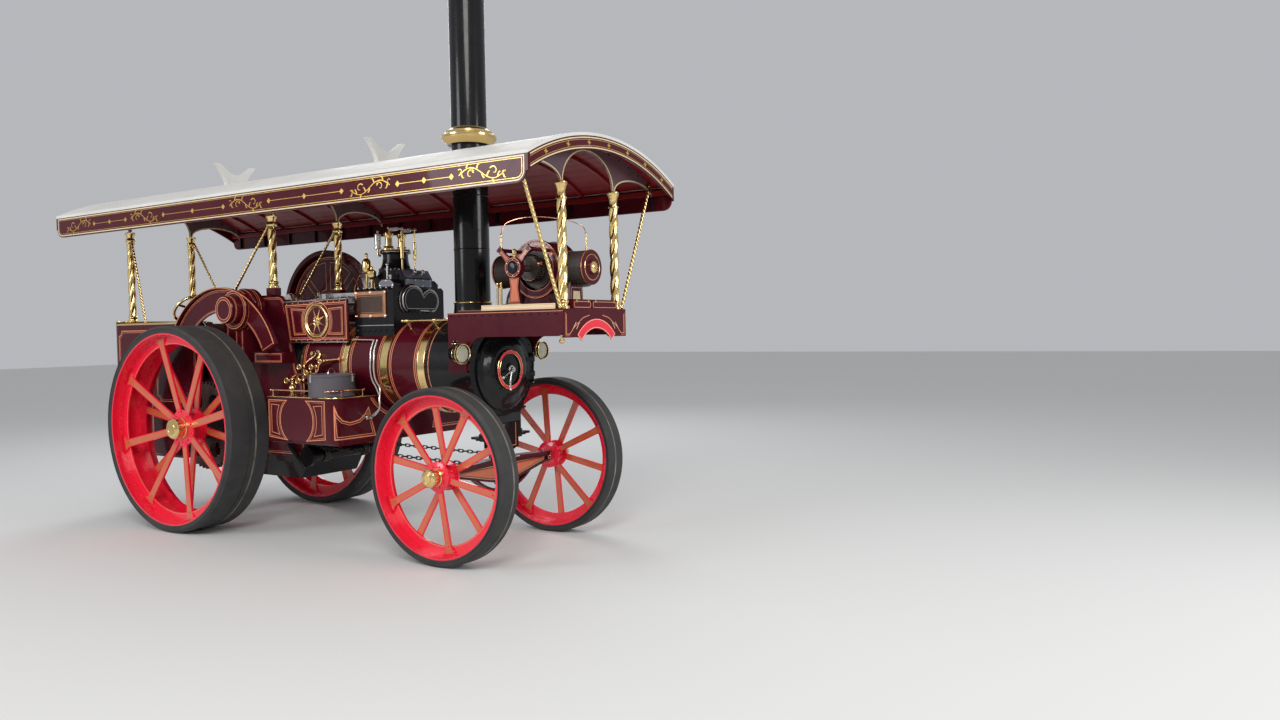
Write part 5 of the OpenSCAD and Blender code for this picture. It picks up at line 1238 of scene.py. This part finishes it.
# Platform: lining, badge, planks and a knob
strip = Piece("platform_strips", "cream")
PLATFORM_X = 4.5902     # just proud of its front face
CORNER_LINE = [(0.445, 2.160), (0.445, 1.990), (0.400, 1.990), (0.330, 2.050), (0.200, 2.128), (0.100, 2.150)]
CORNER_FINE = [(0.458, 2.174), (0.458, 1.976), (0.398, 1.976)]
CREAM_STROKES = ([(0.356, 2.031), (0.303, 2.089)], [(0.300, 2.031), (0.250, 2.098)])
KNOB = [(0, 0.012), (0.030, 0.010), (0.034, 0.020), (0.044, 0.026), (0.058, 0.022), (0.066, 0.010),
        (0.068, 0)]
for side in (-1, 1):
    n = (0, side, 0)
    lining.ribbon(on_y([(3.308, 2.186), (4.582, 2.186)], side * 0.4822), 0.005, n)
    strip.slab(on_y(rectangle(3.700, 4.500, 2.206, 2.252), side * 0.474), n, 0.008, 0.004)
    lining.ribbon(on_y(inset(rectangle(3.706, 4.494, 2.212, 2.246), 0.003), side * 0.4822), 0.003, n,
                  closed=True)
    for i in range(14):
        black.nut(at(3.345 + 0.09 * i, side * 0.482, 2.165), n, 0.008, 0.007, stud=False)
    lining.ribbon(on_x(mirrored(CORNER_LINE, side), PLATFORM_X), 0.007, AHEAD)
    fine.ribbon(on_x(mirrored(CORNER_FINE, side), PLATFORM_X), 0.0035, AHEAD)
    for line in CREAM_STROKES:
        cream.ribbon(on_x(mirrored(line, side), PLATFORM_X), 0.006, AHEAD)
red = Piece("platform_arch_badge", "crimson")
arch = circle(0, 1.735, 0.384, 25, 40, 140) + circle(0, 1.735, 0.302, 25, 40, 140)[::-1]
red.slab(on_x(arch, 4.590), AHEAD, 0.005)
cream.ribbon(on_x(inset(arch, 0.006), 4.595), 0.005, AHEAD, closed=True)
for y0, y1 in ((-0.338, -0.066), (-0.054, 0.338)):
    fine.ribbon(on_x(scooped(y0 + 0.014, y1 - 0.014, 2.217, 2.266, 0.010), 4.5882), 0.005, AHEAD, closed=True)
    black.box(at(4.527, y0 - 0.002, 2.2775), at(4.591, y1 + 0.002, 2.2845), 0.002)
    for y in (y0 + 0.05, y1 - 0.05):
        brass.box(at(4.5885, y - 0.010, 2.258), at(4.594, y + 0.010, 2.281), 0.002)
brass.turned(at(4.560, -0.470, 1.980), (0, 0, -1), KNOB, 18)


def lay_planks(piece, x0, x1, half, z0, z1, cut, count=9, gap=0.004):
    """Planks side by side along X, from -half to half."""
    width = 2 * half / count
    for k in range(count):
        y0 = -half + width * k + gap / 2
        piece.box(at(x0, y0, z0), at(x1, y0 + width - gap, z1), cut)


lay_planks(Piece("platform_planks", "wood"), 3.412, 4.455, 0.466, 2.2045, 2.2150, 0.0015)

# Dynamo: panels and lines on its end frames
panels = Piece("dynamo_panels", "orange")
coil = Piece("dynamo_windings", "winding")
SPIDER_ARM = [(0.092, -0.026), (0.150, -0.018), (0.205, -0.019), (0.239, -0.027), (0.239, 0.027),
              (0.205, 0.019), (0.150, 0.018), (0.092, 0.026)]
SPIDER_LEG = [(-0.056, -0.300), (0.056, -0.300), (0.038, -0.170), (0.052, -0.090), (-0.052, -0.090),
              (-0.038, -0.170)]
SPIDER_BAND = circle(0, 0, 0.240, 24, 30, 150) + circle(0, 0, 0.202, 24, 30, 150)[::-1]
SPIDER_EDGE = [(-0.118, -0.350), (-0.060, -0.312), (0.060, -0.312), (0.118, -0.350)]
SHAFT_CAP = [(-0.001, 0.054), (0.010, 0.054), (0.016, 0.046), (0.018, 0.031)]
SHAFT_OILER = [(0, 0.018), (0.008, 0.018), (0.012, 0.010), (0.026, 0.010), (0.030, 0.020), (0.066, 0.021),
               (0.072, 0.014), (0.080, 0)]


def round_shaft(points, degrees=0):
    """Pairs measured from the dynamo's shaft, turned about it."""
    c, s = polar(degrees)
    return [(DX + c * u - s * v, DZ + s * u + c * v) for u, v in points]


def dynamo_panel(outline, degrees, side, y, margin):
    """An orange panel with a black edge line."""
    n = (0, side, 0)
    panels.slab(on_y(round_shaft(outline, degrees), side * y), n, 0.0010)
    edge = round_shaft(inset(outline, margin), degrees)
    black.ribbon(on_y(edge, side * (y + 0.0010)), 0.003, n, closed=True)


for side in (-1, 1):
    n = (0, side, 0)
    for degrees in (45, 135):
        dynamo_panel(SPIDER_ARM, degrees, side, 0.4522, 0.006)
    dynamo_panel(SPIDER_LEG, 0, side, 0.4522, 0.007)
    dynamo_panel(SPIDER_BAND, 0, side, 0.1502, 0.006)
    lining.ribbon(on_y(round_shaft(SPIDER_EDGE), side * 0.4522), 0.005, n)
    for r, width, out, count in ((0.080, 0.005, 0.4702, 48), (0.062, 0.003, 0.4702, 48),
                                 (0.2565, 0.006, 0.1492, 96), (0.247, 0.003, 0.1502, 96),
                                 (0.195, 0.004, 0.1502, 96)):
        lining.ribbon(on_y(circle(DX, DZ, r, count), side * out), width, n, closed=True)
    black.turned(at(DX, side * 0.470, DZ), n, SHAFT_CAP, 32)
    brass.turned(at(DX, side * 0.440, DZ + 0.084), UP, SHAFT_OILER, 20)
    steel.domes(on_y(circle(DX, DZ, 0.071, 6, 30, 390), side * 0.470), n, 0.006, n=6)
    steel.nuts([at(x, side * 0.440, 2.225) for x in (DX - 0.110, DX + 0.110)], UP, 0.013, 0.012)
    black.torus(at(DX, side * 0.205, DZ), LEFT, 0.122, 0.007, 48, 8)
    for x, z in circle(DX, DZ, 0.118, 2, 20, 380):
        copper.box(at(x - 0.018, side * 0.200 - 0.034, z - 0.016),
                   at(x + 0.018, side * 0.200 + 0.034, z + 0.016), 0.004)

# Dynamo: field coils, their caps and feet
COIL_WIRES, WIRE_PITCH = 20, 0.0088
COIL = [(0.004 + WIRE_PITCH * i + d, r) for i in range(COIL_WIRES)
        for d, r in ((0, 0.1462), (0.0044, 0.1492), (0.0080, 0.1462))]
COIL_CAP = [(-0.004, 0.052), (0.004, 0.050), (0.016, 0.036), (0.022, 0.016), (0.023, 0)]
COIL_FOOT = [(y, DZ + z) for y, z in ((-0.110, -0.352), (0.110, -0.352), (0.088, -0.302), (0.076, -0.172),
                                      (-0.076, -0.172), (-0.088, -0.302))]
for sign in (-1, 1):
    n = (sign, 0, 0)
    coil.turned(at(DX + sign * 0.304, 0, DZ), n, [(0, 0.1405), *COIL, (0.182, 0.1405)], 40)
    for x in (0.294, 0.496):
        lining.hoop(at(DX + sign * x, 0, DZ), 0.154, 0.006, 60)
    brass.turned(at(DX + sign * 0.5255, 0, DZ), n, COIL_CAP, 32)
    brass.torus(at(DX + sign * 0.507, 0, DZ), AHEAD, 0.112, 0.004, 56, 8)
    lining.ribbon(on_x(COIL_FOOT, DX + sign * 0.3362), 0.007, n, closed=True)
    strip.slab(on_x(inset(COIL_FOOT, 0.030), DX + sign * 0.3362), n, 0.001)

# Dynamo: terminals, cable and conduits
for x, y, h in ((3.905, -0.440, 0.153), (4.195, 0.440, 0.215)):
    brass.turned(at(x, y, 2.715), UP,
                 [(0, 0.014), (0.010, 0.014), (0.014, 0.008), (h - 0.03, 0.007), (h - 0.026, 0.014),
                  (h - 0.010, 0.014), (h - 0.004, 0.008), (h, 0)], 18)
copper.tube(bent([(3.905, -0.440, 2.860), (3.925, -0.400, 2.960), (3.985, -0.240, 3.020),
                  (4.050, 0.000, 3.045), (4.120, 0.240, 3.030), (4.180, 0.400, 2.990),
                  (4.195, 0.440, 2.922)]), 0.0042, 8)
for x in (3.872, 3.912):
    brass.tube([at(x, -0.462, 2.215), at(x, -0.462, 2.430)], 0.010)
    brass.ball(at(x, -0.462, 2.436), 0.015, 12)
conduit = Piece("dynamo_conduits", "black")
for side in (-1, 1):
    conduit.tube(bent([(DX - 0.110, 0.205, DZ - 0.040), (DX - 0.165, 0.230, DZ - 0.110),
                       (DX - 0.200, 0.280, DZ - 0.220), (DX - 0.206, 0.300, DZ - 0.290),
                       (DX - 0.206, 0.302, 2.262)], side), 0.011)
    conduit.box(at(DX - 0.250, side * 0.262, 2.213), at(DX - 0.162, side * 0.342, 2.262), 0.005)
    brass.turned(at(DX - 0.206, side * 0.302, 2.261), UP,
                 [(0, 0.018), (0.012, 0.018), (0.016, 0.0125), (0.022, 0.0125)], 6)
    brass.turned(at(DX - 0.110, side * 0.205, DZ - 0.040), (-0.6, 0, -0.8),
                 [(-0.004, 0.017), (0.012, 0.017), (0.016, 0.0125)], 16)

# Dynamo: the turning armature and pulley
SKEW = math.degrees(0.25)       # turn of each conductor from end to end
arm = Piece("armature_windings", "copper", "dynamo_armature")
for (x0, z0), (x1, z1) in zip(circle(DX, DZ, 0.166, 36), circle(DX, DZ, 0.166, 36, SKEW, SKEW + 360)):
    arm.tube([at(x0, -0.120, z0), at(x1, 0.120, z1)], 0.0055, 6)
for x, z in circle(DX, DZ, 0.1045, 30):
    arm.tube([at(x, -0.246, z), at(x, -0.154, z)], 0.0045, 6)
pulley = Piece("pulley_faces", "crimson", "dynamo_armature")
pulley.ribbon(on_y(circle(DX, DZ, 0.124, 64), 0.6412), 0.018, LEFT, closed=True)
pulley_nut = Piece("pulley_nut", "steel", "dynamo_armature")
pulley_nut.turned(at(DX, 0.643, DZ), LEFT, [(-0.006, 0.022), (-0.001, 0.022), (0.001, 0.018)], 6)

# Chimney
CHIMNEY_COLLAR = ((0.0005, 0.204), (0.0455, 0.2503), (0.060, 0.2593), (0.084, 0.2593), (0.1005, 0.2293),
                  (0.1225, 0.2233), (0.1446, 0.1785), (0.157, 0.1683), (0.156, 0.1663), (0.1430, 0.1760),
                  (0.1210, 0.2210), (0.0990, 0.2270), (0.084, 0.2560), (0.060, 0.2560), (0.0470, 0.2480),
                  (0.0005, 0.2010))       # height and radius, up outside and down inside
collar = Piece("chimney_collar", "brass")
collar.grid([on_z(circle(CHIMNEY_X, 0, r, 96), 3.780 + z) for z, r in CHIMNEY_COLLAR], loop=True)
top_trim = Piece("chimney_top_rings", "copper")
for z, r, small in ((5.656, 0.2440, 0.011), (5.418, 0.1785, 0.006), (5.694, 0.1945, 0.004)):
    top_trim.torus(at(CHIMNEY_X, 0, z), UP, r, small, 96, 8)
base_rings = Piece("chimney_base_rings", "brass")
base_rings.torus(at(CHIMNEY_X, 0, BOILER_Z + BARREL_R + 0.142), UP, 0.1775, 0.006, 72, 8)
for z in (2.80, 3.30):
    black.torus(at(CHIMNEY_X, 0, z), UP, 0.1678, 0.005, 72, 6)
black.domes([at(CHIMNEY_X - 0.1676, 0, 2.36 + 0.13 * i) for i in range(10)], BACK, 0.008)

# Lamps
lens = Piece("lamp_lenses", "glass")
lamp_trim = Piece("lamp_rims", "brass")
LENS = [(0, 0.077), (0.002, 0.0775), (0.006, 0.064), (0.010, 0.040), (0.012, 0.016), (0.0125, 0)]
for side in (-1, 1):
    y = side * 0.577
    lens.turned(at(3.5515, y, 1.830), AHEAD, LENS, 40)
    for x, z, axis, big, small, count, sides in (
            (3.5645, 1.830, AHEAD, 0.0850, 0.0055, 64, 8), (3.5440, 1.830, AHEAD, 0.0905, 0.0035, 64, 8),
            (3.492, 1.830, AHEAD, 0.0705, 0.003, 48, 6), (3.470, 1.920, UP, 0.034, 0.003, 32, 6)):
        lamp_trim.torus(at(x, y, z), axis, big, small, count, sides)
    lamp_trim.torus(at(3.470, y, 1.944), LEFT, 0.020, 0.0028, 32, 6, 0, 180, AHEAD)
    steel.nut(at(3.458, side * 0.484, 1.842), UP, 0.010, 0.008)

# Front axle and its bracket
axle_panel = Piece("axle_panels", "orange", "front_axle")
axle_line = Piece("axle_lines", "cream", "front_axle")
axle_black = Piece("axle_black_lines", "black", "front_axle")
axle_nuts = Piece("axle_nuts", "steel", "front_axle")
WEB = [(y, FRONT_R + z) for y, z in ((-0.600, -0.002), (0.600, -0.002), (0.600, -0.026), (0.178, -0.118),
                                     (-0.178, -0.118), (-0.600, -0.026))]
for sign in (-1, 1):
    x, n = WHEELBASE + sign * 0.0322, (sign, 0, 0)
    axle_panel.slab(on_x(WEB, x), n, 0.0012)
    axle_black.ribbon(on_x(inset(WEB, 0.005), x + sign * 0.0012), 0.004, n, closed=True)
    axle_line.ribbon(on_x(inset(WEB, -0.004), x), 0.004, n, closed=True)
    axle_line.ribbon(on_x([(-0.2, FRONT_R + 0.058), (0.2, FRONT_R + 0.058)], WHEELBASE + sign * 0.0552),
                     0.006, n)
    for y in (-0.676, 0.676):
        panel = rectangle(y - 0.020, y + 0.020, FRONT_R - 0.030, FRONT_R + 0.030)
        axle_line.ribbon(on_x(panel, WHEELBASE + sign * 0.0502), 0.004, n, closed=True)
        axle_nuts.nut(at(WHEELBASE + sign * 0.050, y, FRONT_R), n, 0.011, 0.009)
for side in (-1, 1):
    axle_nuts.nut(at(WHEELBASE, side * 0.640, FRONT_R + 0.044), UP, 0.016, 0.014)
    black.nuts([at(WHEELBASE + x, side * 0.315, 1.302) for x in (-0.060, -0.002)], UP, 0.012, 0.010)
bracket = [(-0.085, 1.165), (-0.085, 0.955), (0.085, 0.955), (0.085, 1.165)]
lining.ribbon(on_x(bracket, WHEELBASE + 0.1052), 0.006, AHEAD)

# Steering chains: links from the roller to an eye on the beam
coils = Piece("chain_coils", "iron")
eyes = Piece("chain_eyes", "steel", "front_axle")
LINKS, LINK_WIRE, LINK_R = 34, 0.0058, 0.0135
EYE_FOOT = [(-0.002, 0.017), (0.006, 0.017), (0.008, 0.009), (0.004, 0.009)]


def chain(side, word):
    """One chain, with links turned a quarter from each to the next."""
    start, end = at(1.330, side * 0.285, 0.857), at(3.4200, side * 0.300, 0.805)
    links = Piece(f"chain_links_{word}", "iron", bend=("root", "front_axle", start.lerp(end, 0.75), end))
    d = (end - start).normalized()
    across = (Vector(LEFT) - d * d.y).normalized()
    flanks = (d.cross(across), across)
    pitch = ((end - start).length - 0.010) / LINKS
    half = pitch / 2 + LINK_WIRE - LINK_R
    for i in range(LINKS):
        centre = start + d * (0.005 + (i + 0.5) * pitch)
        loop = [centre + d * (sign * half + LINK_R * s) + flanks[i % 2] * LINK_R * c
                for sign, first in ((1, 0), (-1, 180)) for c, s in map(polar, range(first, first + 181, 30))]
        links.tube(loop, LINK_WIRE, 6, loop=True)
    eyes.torus(end + Vector((0.004, 0, 0)), LEFT, 0.016, 0.006, 24, 8)
    eyes.turned(at(WHEELBASE - 0.0548, side * 0.300, 0.805), BACK, EYE_FOOT, 12)
    for k in range(4):
        coils.torus(at(1.330, side * (0.285 - 0.017 * k), 0.780), (0, 1, 0.04), 0.0685, 0.0080, 40, 8)


for side, word in SIDES:
    chain(side, word)
clip = Piece("spring_clips", "black")
for y in (-0.150, 0.150):
    clip.box(at(WHEELBASE - 0.050, y - 0.018, 0.975), at(WHEELBASE + 0.050, y + 0.018, 1.066), 0.004)

# Tender: beading, lined panels, rivets and the drawbar's pin
trim = Piece("tender_beading", "brass")
frames = Piece("tender_lining", "line")
TENDER_BACK = -1.8502
TENDER_LINES = (0, 0.010), (0.020, 0.0045), (frames, frames)
# Beading on each side: (x, z) along the top, and on the left down and round the entry
BEADING = {-1: ([(-0.215, 2.171), (-1.755, 2.171)],),
           1: ([(-0.215, 2.171), (-0.618, 2.171), (-0.618, 1.362)],
               [(-1.002, 1.362), (-1.002, 2.171), (-1.755, 2.171)])}
for side in (-1, 1):
    n = (0, side, 0)
    for x0, x1, z0 in ((-1.715, -1.085, 0.800), (-0.985 if side < 0 else -0.575, -0.265, 1.300)):
        double_line(scooped(x0, x1, z0, 2.095, 0.060), on_y, side * 0.6202, n, *TENDER_LINES)
    for path in BEADING[side]:
        trim.tube(on_y(path, side * 0.612), 0.012)
trim.tube([at(-0.618, 0.612, 1.352), at(-1.002, 0.612, 1.352)], 0.008, 10)
for x in (-0.640, -0.980):
    steel.tube([at(x, 0.660, 1.55), at(x, 0.660, 2.08)], 0.011)
    for z in (1.56, 2.07):
        steel.tube([at(x, 0.615, z), at(x, 0.662, z)], 0.009, 10)
        steel.ball(at(x, 0.660, z), 0.016, 12)
corner = [(-1.740 - 0.102 * s, 0.510 + 0.102 * c) for c, s in map(polar, range(15, 91, 15))]
rear = [(-1.762, -0.612), *[(x, -y) for x, y in corner], *corner[::-1], (-1.762, 0.612)]
trim.tube(on_z(rear, 2.201), 0.012)
for z0, z1 in ((1.130, 2.110), (0.790, 1.060)):
    double_line(scooped(-0.455, 0.455, z0, z1, 0.060), on_x, TENDER_BACK, BACK, *TENDER_LINES)
star(gold_star, at(TENDER_BACK, 0, 1.62), BACK, LEFT, 0.150, 0.052, 8, 0.006)
for r, width in ((0.185, 0.008), (0.203, 0.004)):
    frames.ribbon(on_x(circle(0, 1.62, r, 64), TENDER_BACK), width, BACK, closed=True)
tender_rivets = Piece("tender_rivets", "maroon")
tender_rivets.domes([at(-1.850, -0.48 + 0.06 * i, 1.095) for i in range(17)], BACK, 0.009, n=6)
for side in (-1, 1):
    places = [at(x, side * 0.620, 0.80 + 0.06 * i) for i in range(22) for x in (-1.060, -0.235)]
    tender_rivets.domes(places, (0, side, 0), 0.009, n=6)
PIN = [(0, 0.012), (0.010, 0.022), (0.122, 0.022), (0.124, 0.034), (0.136, 0.034), (0.140, 0.012),
       (0.160, 0.010)]
pin = Piece("drawbar_pin", "steel")
pin.turned(at(-1.895, 0, 0.530), UP, PIN, 20)
pin.torus(at(-1.895, 0, 0.705), LEFT, 0.026, 0.006, 32, 8)

# Coal: a bumpy heap with loose lumps on it; random numbers are drawn in this order
coal = Piece("coal_heap", "coal", angle=20)
HEAP_RISE, HEAP_ROWS, HEAP_STEPS, LUMPS = 0.17, 14, 20, 260


def heap(u, v):
    """Height of the heap over its edge, for parts of its length and width."""
    return HEAP_RISE * math.sin(math.pi * u) * math.sin(math.pi * v)


def lump(place):
    """One lump of coal, six sided and uneven."""
    r = random.uniform(0.022, 0.048)
    axis = [random.uniform(-1, 1) for _ in range(3)]
    coal.turned(place, axis,
                [(-r * random.uniform(0.6, 0.9), r * random.uniform(0.3, 0.5)),
                 (-r * 0.2, r * random.uniform(0.8, 1.0)), (r * 0.35, r * random.uniform(0.7, 1.0)),
                 (r * random.uniform(0.6, 0.9), r * random.uniform(0.2, 0.5))], 6)


rows = []
for i in range(HEAP_ROWS + 1):
    x = -1.756 + 0.486 * i / HEAP_ROWS
    top = [(-0.600 + 1.2 * k / HEAP_STEPS,
            1.92 + heap(i / HEAP_ROWS, k / HEAP_STEPS) + random.uniform(-0.015, 0.015))
           for k in range(HEAP_STEPS + 1)]
    rows.append(on_x([*top, (0.600, 1.80), (-0.600, 1.80)], x))
coal.grid(rows)
for _ in range(LUMPS):
    u, v = random.random(), random.random()
    lump(at(-1.735 + 0.44 * u, -0.57 + 1.14 * v, 1.925 + heap(u, v) + random.uniform(0, 0.02)))

# Footplate: floor and seat
lay_planks(Piece("footplate_boards", "wood"), -1.245, -0.225, 0.598, 0.999, 1.014, 0.002)
seat = Piece("driver_seat", "wood")
seat.box(at(-1.245, -0.560, 1.440), at(-0.930, -0.180, 1.478), 0.010)
for x, y in ((-1.240, -0.540), (-0.975, -0.540), (-0.975, -0.240)):
    black.box(at(x, y, 1.010), at(x + 0.035, y + 0.040, 1.442), 0.004)

# Footplate: gauges
GAUGE_Y, GAUGE_Z = -0.230, 2.000
dial = Piece("gauge_dial", "dial")
marks = Piece("gauge_marks", "black")
dial.turned(at(0.2392, GAUGE_Y, GAUGE_Z), BACK, [(-0.002, 0.056), (0.0006, 0.056), (0.0010, 0.052)], 48)
brass.torus(at(0.2385, GAUGE_Y, GAUGE_Z), AHEAD, 0.0585, 0.0050, 56, 8)
for c, s in map(polar, spaced(-45, 225, 12)):
    marks.tube([at(0.2382, GAUGE_Y + r * c, GAUGE_Z + r * s) for r in (0.046, 0.052)], 0.0012, 5)
marks.tube([at(0.2372, GAUGE_Y, GAUGE_Z), at(0.2372, -0.258, 2.030)], [0.0030, 0.0010], 6)
tubes = Piece("gauge_glasses", "glass")
for side in (-1, 1):
    y = side * 0.190
    tubes.tube([at(0.2397, y, 1.735), at(0.2397, y, 1.895)], 0.0165, 16)
    for z in (1.710, 1.910):
        brass.turned(at(0.2397, y, z - 0.020), UP, [(0, 0.020), (0.040, 0.020)], 6)
        brass.turned(at(0.300, y, z), BACK,
                     [(-0.001, 0.034), (0.008, 0.034), (0.010, 0.022), (0.060, 0.020)], 20)

# Footplate: firehole door, lever grips and the steering wheel's fittings
door_trim = Piece("firehole_fittings", "steel")
door_trim.torus(at(0.2535, 0, 1.420), AHEAD, 0.142, 0.006, 56, 8)
handle = [(0.2500, 1.500), (0.2100, 1.470), (0.2100, 1.380), (0.2500, 1.350)]
door_trim.tube(on_y(handle, 0.05), 0.009, 10)
door_trim.domes(on_x(circle(0, 1.420, 0.162, 10, 18, 378), 0.2780), BACK, 0.009)
grips = Piece("lever_grips", "brass")
lever, d = at(-0.020, 0.3867, 2.380), Vector((-0.190, 0, 0.680)).normalized()
grips.tube([lever - d * 0.10, lever + d * 0.012], 0.0165, 14)
for y, z in circle(0, 1.960, 0.150, 2, 20, 380):
    grips.ball(at(0.1597, y, z), 0.020)
HELM = at(-0.560, -0.455, 2.330)
HELM_C, HELM_S = polar(-47.77)      # its tilt


def on_helm(x, y, z):
    """A place measured from the steering wheel's middle, Z along its column."""
    return HELM + Vector((x * HELM_C + z * HELM_S, y, -x * HELM_S + z * HELM_C))


helm_trim = Piece("helm_grip", "wood", "steering_wheel")
c, s = polar(36)
helm_trim.tube([on_helm(0.186 * c, 0.186 * s, z) for z in (0.016, 0.024, 0.050, 0.080, 0.094)],
               [0.013, 0.0165, 0.019, 0.0165, 0.0125], 16)
helm_nut = Piece("helm_nut", "steel", "steering_wheel")
helm_axis = on_helm(0, 0, 1) - HELM
helm_nut.nut(on_helm(0, 0, 0.025), helm_axis, 0.022, 0.016)
helm_nut.domes([on_helm(x, y, 0.025) for x, y in circle(0, 0, 0.034, 5)], helm_axis, 0.006)

for piece in Piece.made:
    piece.build()


# Floor and light
LIGHTS = (("key", (8.5, -9.0, 9.5), 6.0, 900, (1.0, 0.98, 0.95)),
          ("side", (-4.0, -11.0, 5.5), 5.0, 420, (0.95, 0.97, 1.0)),
          ("front", (13.0, 1.0, 4.5), 4.0, 300, (1.0, 1.0, 1.0)),
          ("back", (-6.0, 8.0, 8.0), 6.0, 340, (0.95, 0.97, 1.0)))      # place, size, power and colour
FLOOR_HALF, AIM = 60.0, Vector((0, 0, 1.8))


def studio_floor():
    """A large matt floor with a little relief."""
    mesh = bpy.data.meshes.new("floor")
    corners = rectangle(-FLOOR_HALF, FLOOR_HALF, -FLOOR_HALF, FLOOR_HALF)
    mesh.from_pydata([(x, y, 0) for x, y in corners], [], [(0, 1, 2, 3)])
    floor = bpy.data.objects.new("floor", mesh)
    bpy.context.scene.collection.objects.link(floor)
    mat, tree, shader = new_material("floor", Base_Color=(0.72, 0.72, 0.70, 1), Roughness=0.75)
    noise = tree.nodes.new("ShaderNodeTexNoise")
    noise.inputs["Scale"].default_value = 30.0
    add_relief(tree, 0.0006, noise.outputs["Fac"], shader)
    mesh.materials.append(mat)


def studio_light():
    """A pale sky and four round lamps aimed at the engine."""
    world = bpy.data.worlds.new("world")
    bpy.context.scene.world = world
    world.use_nodes = True
    sky = world.node_tree.nodes["Background"]
    sky.inputs["Color"].default_value = (0.93, 0.95, 1.0, 1)
    sky.inputs["Strength"].default_value = 0.50
    for name, place, size, power, color in LIGHTS:
        light = bpy.data.lights.new(name, "AREA")
        light.shape = "DISK"
        light.size, light.energy, light.color = size, power, color
        obj = bpy.data.objects.new(name, light)
        obj.location = place
        obj.rotation_euler = (AIM - obj.location).to_track_quat("-Z", "Y").to_euler()
        bpy.context.scene.collection.objects.link(obj)
    bpy.context.scene.view_settings.view_transform = "Standard"


studio_floor()
studio_light()
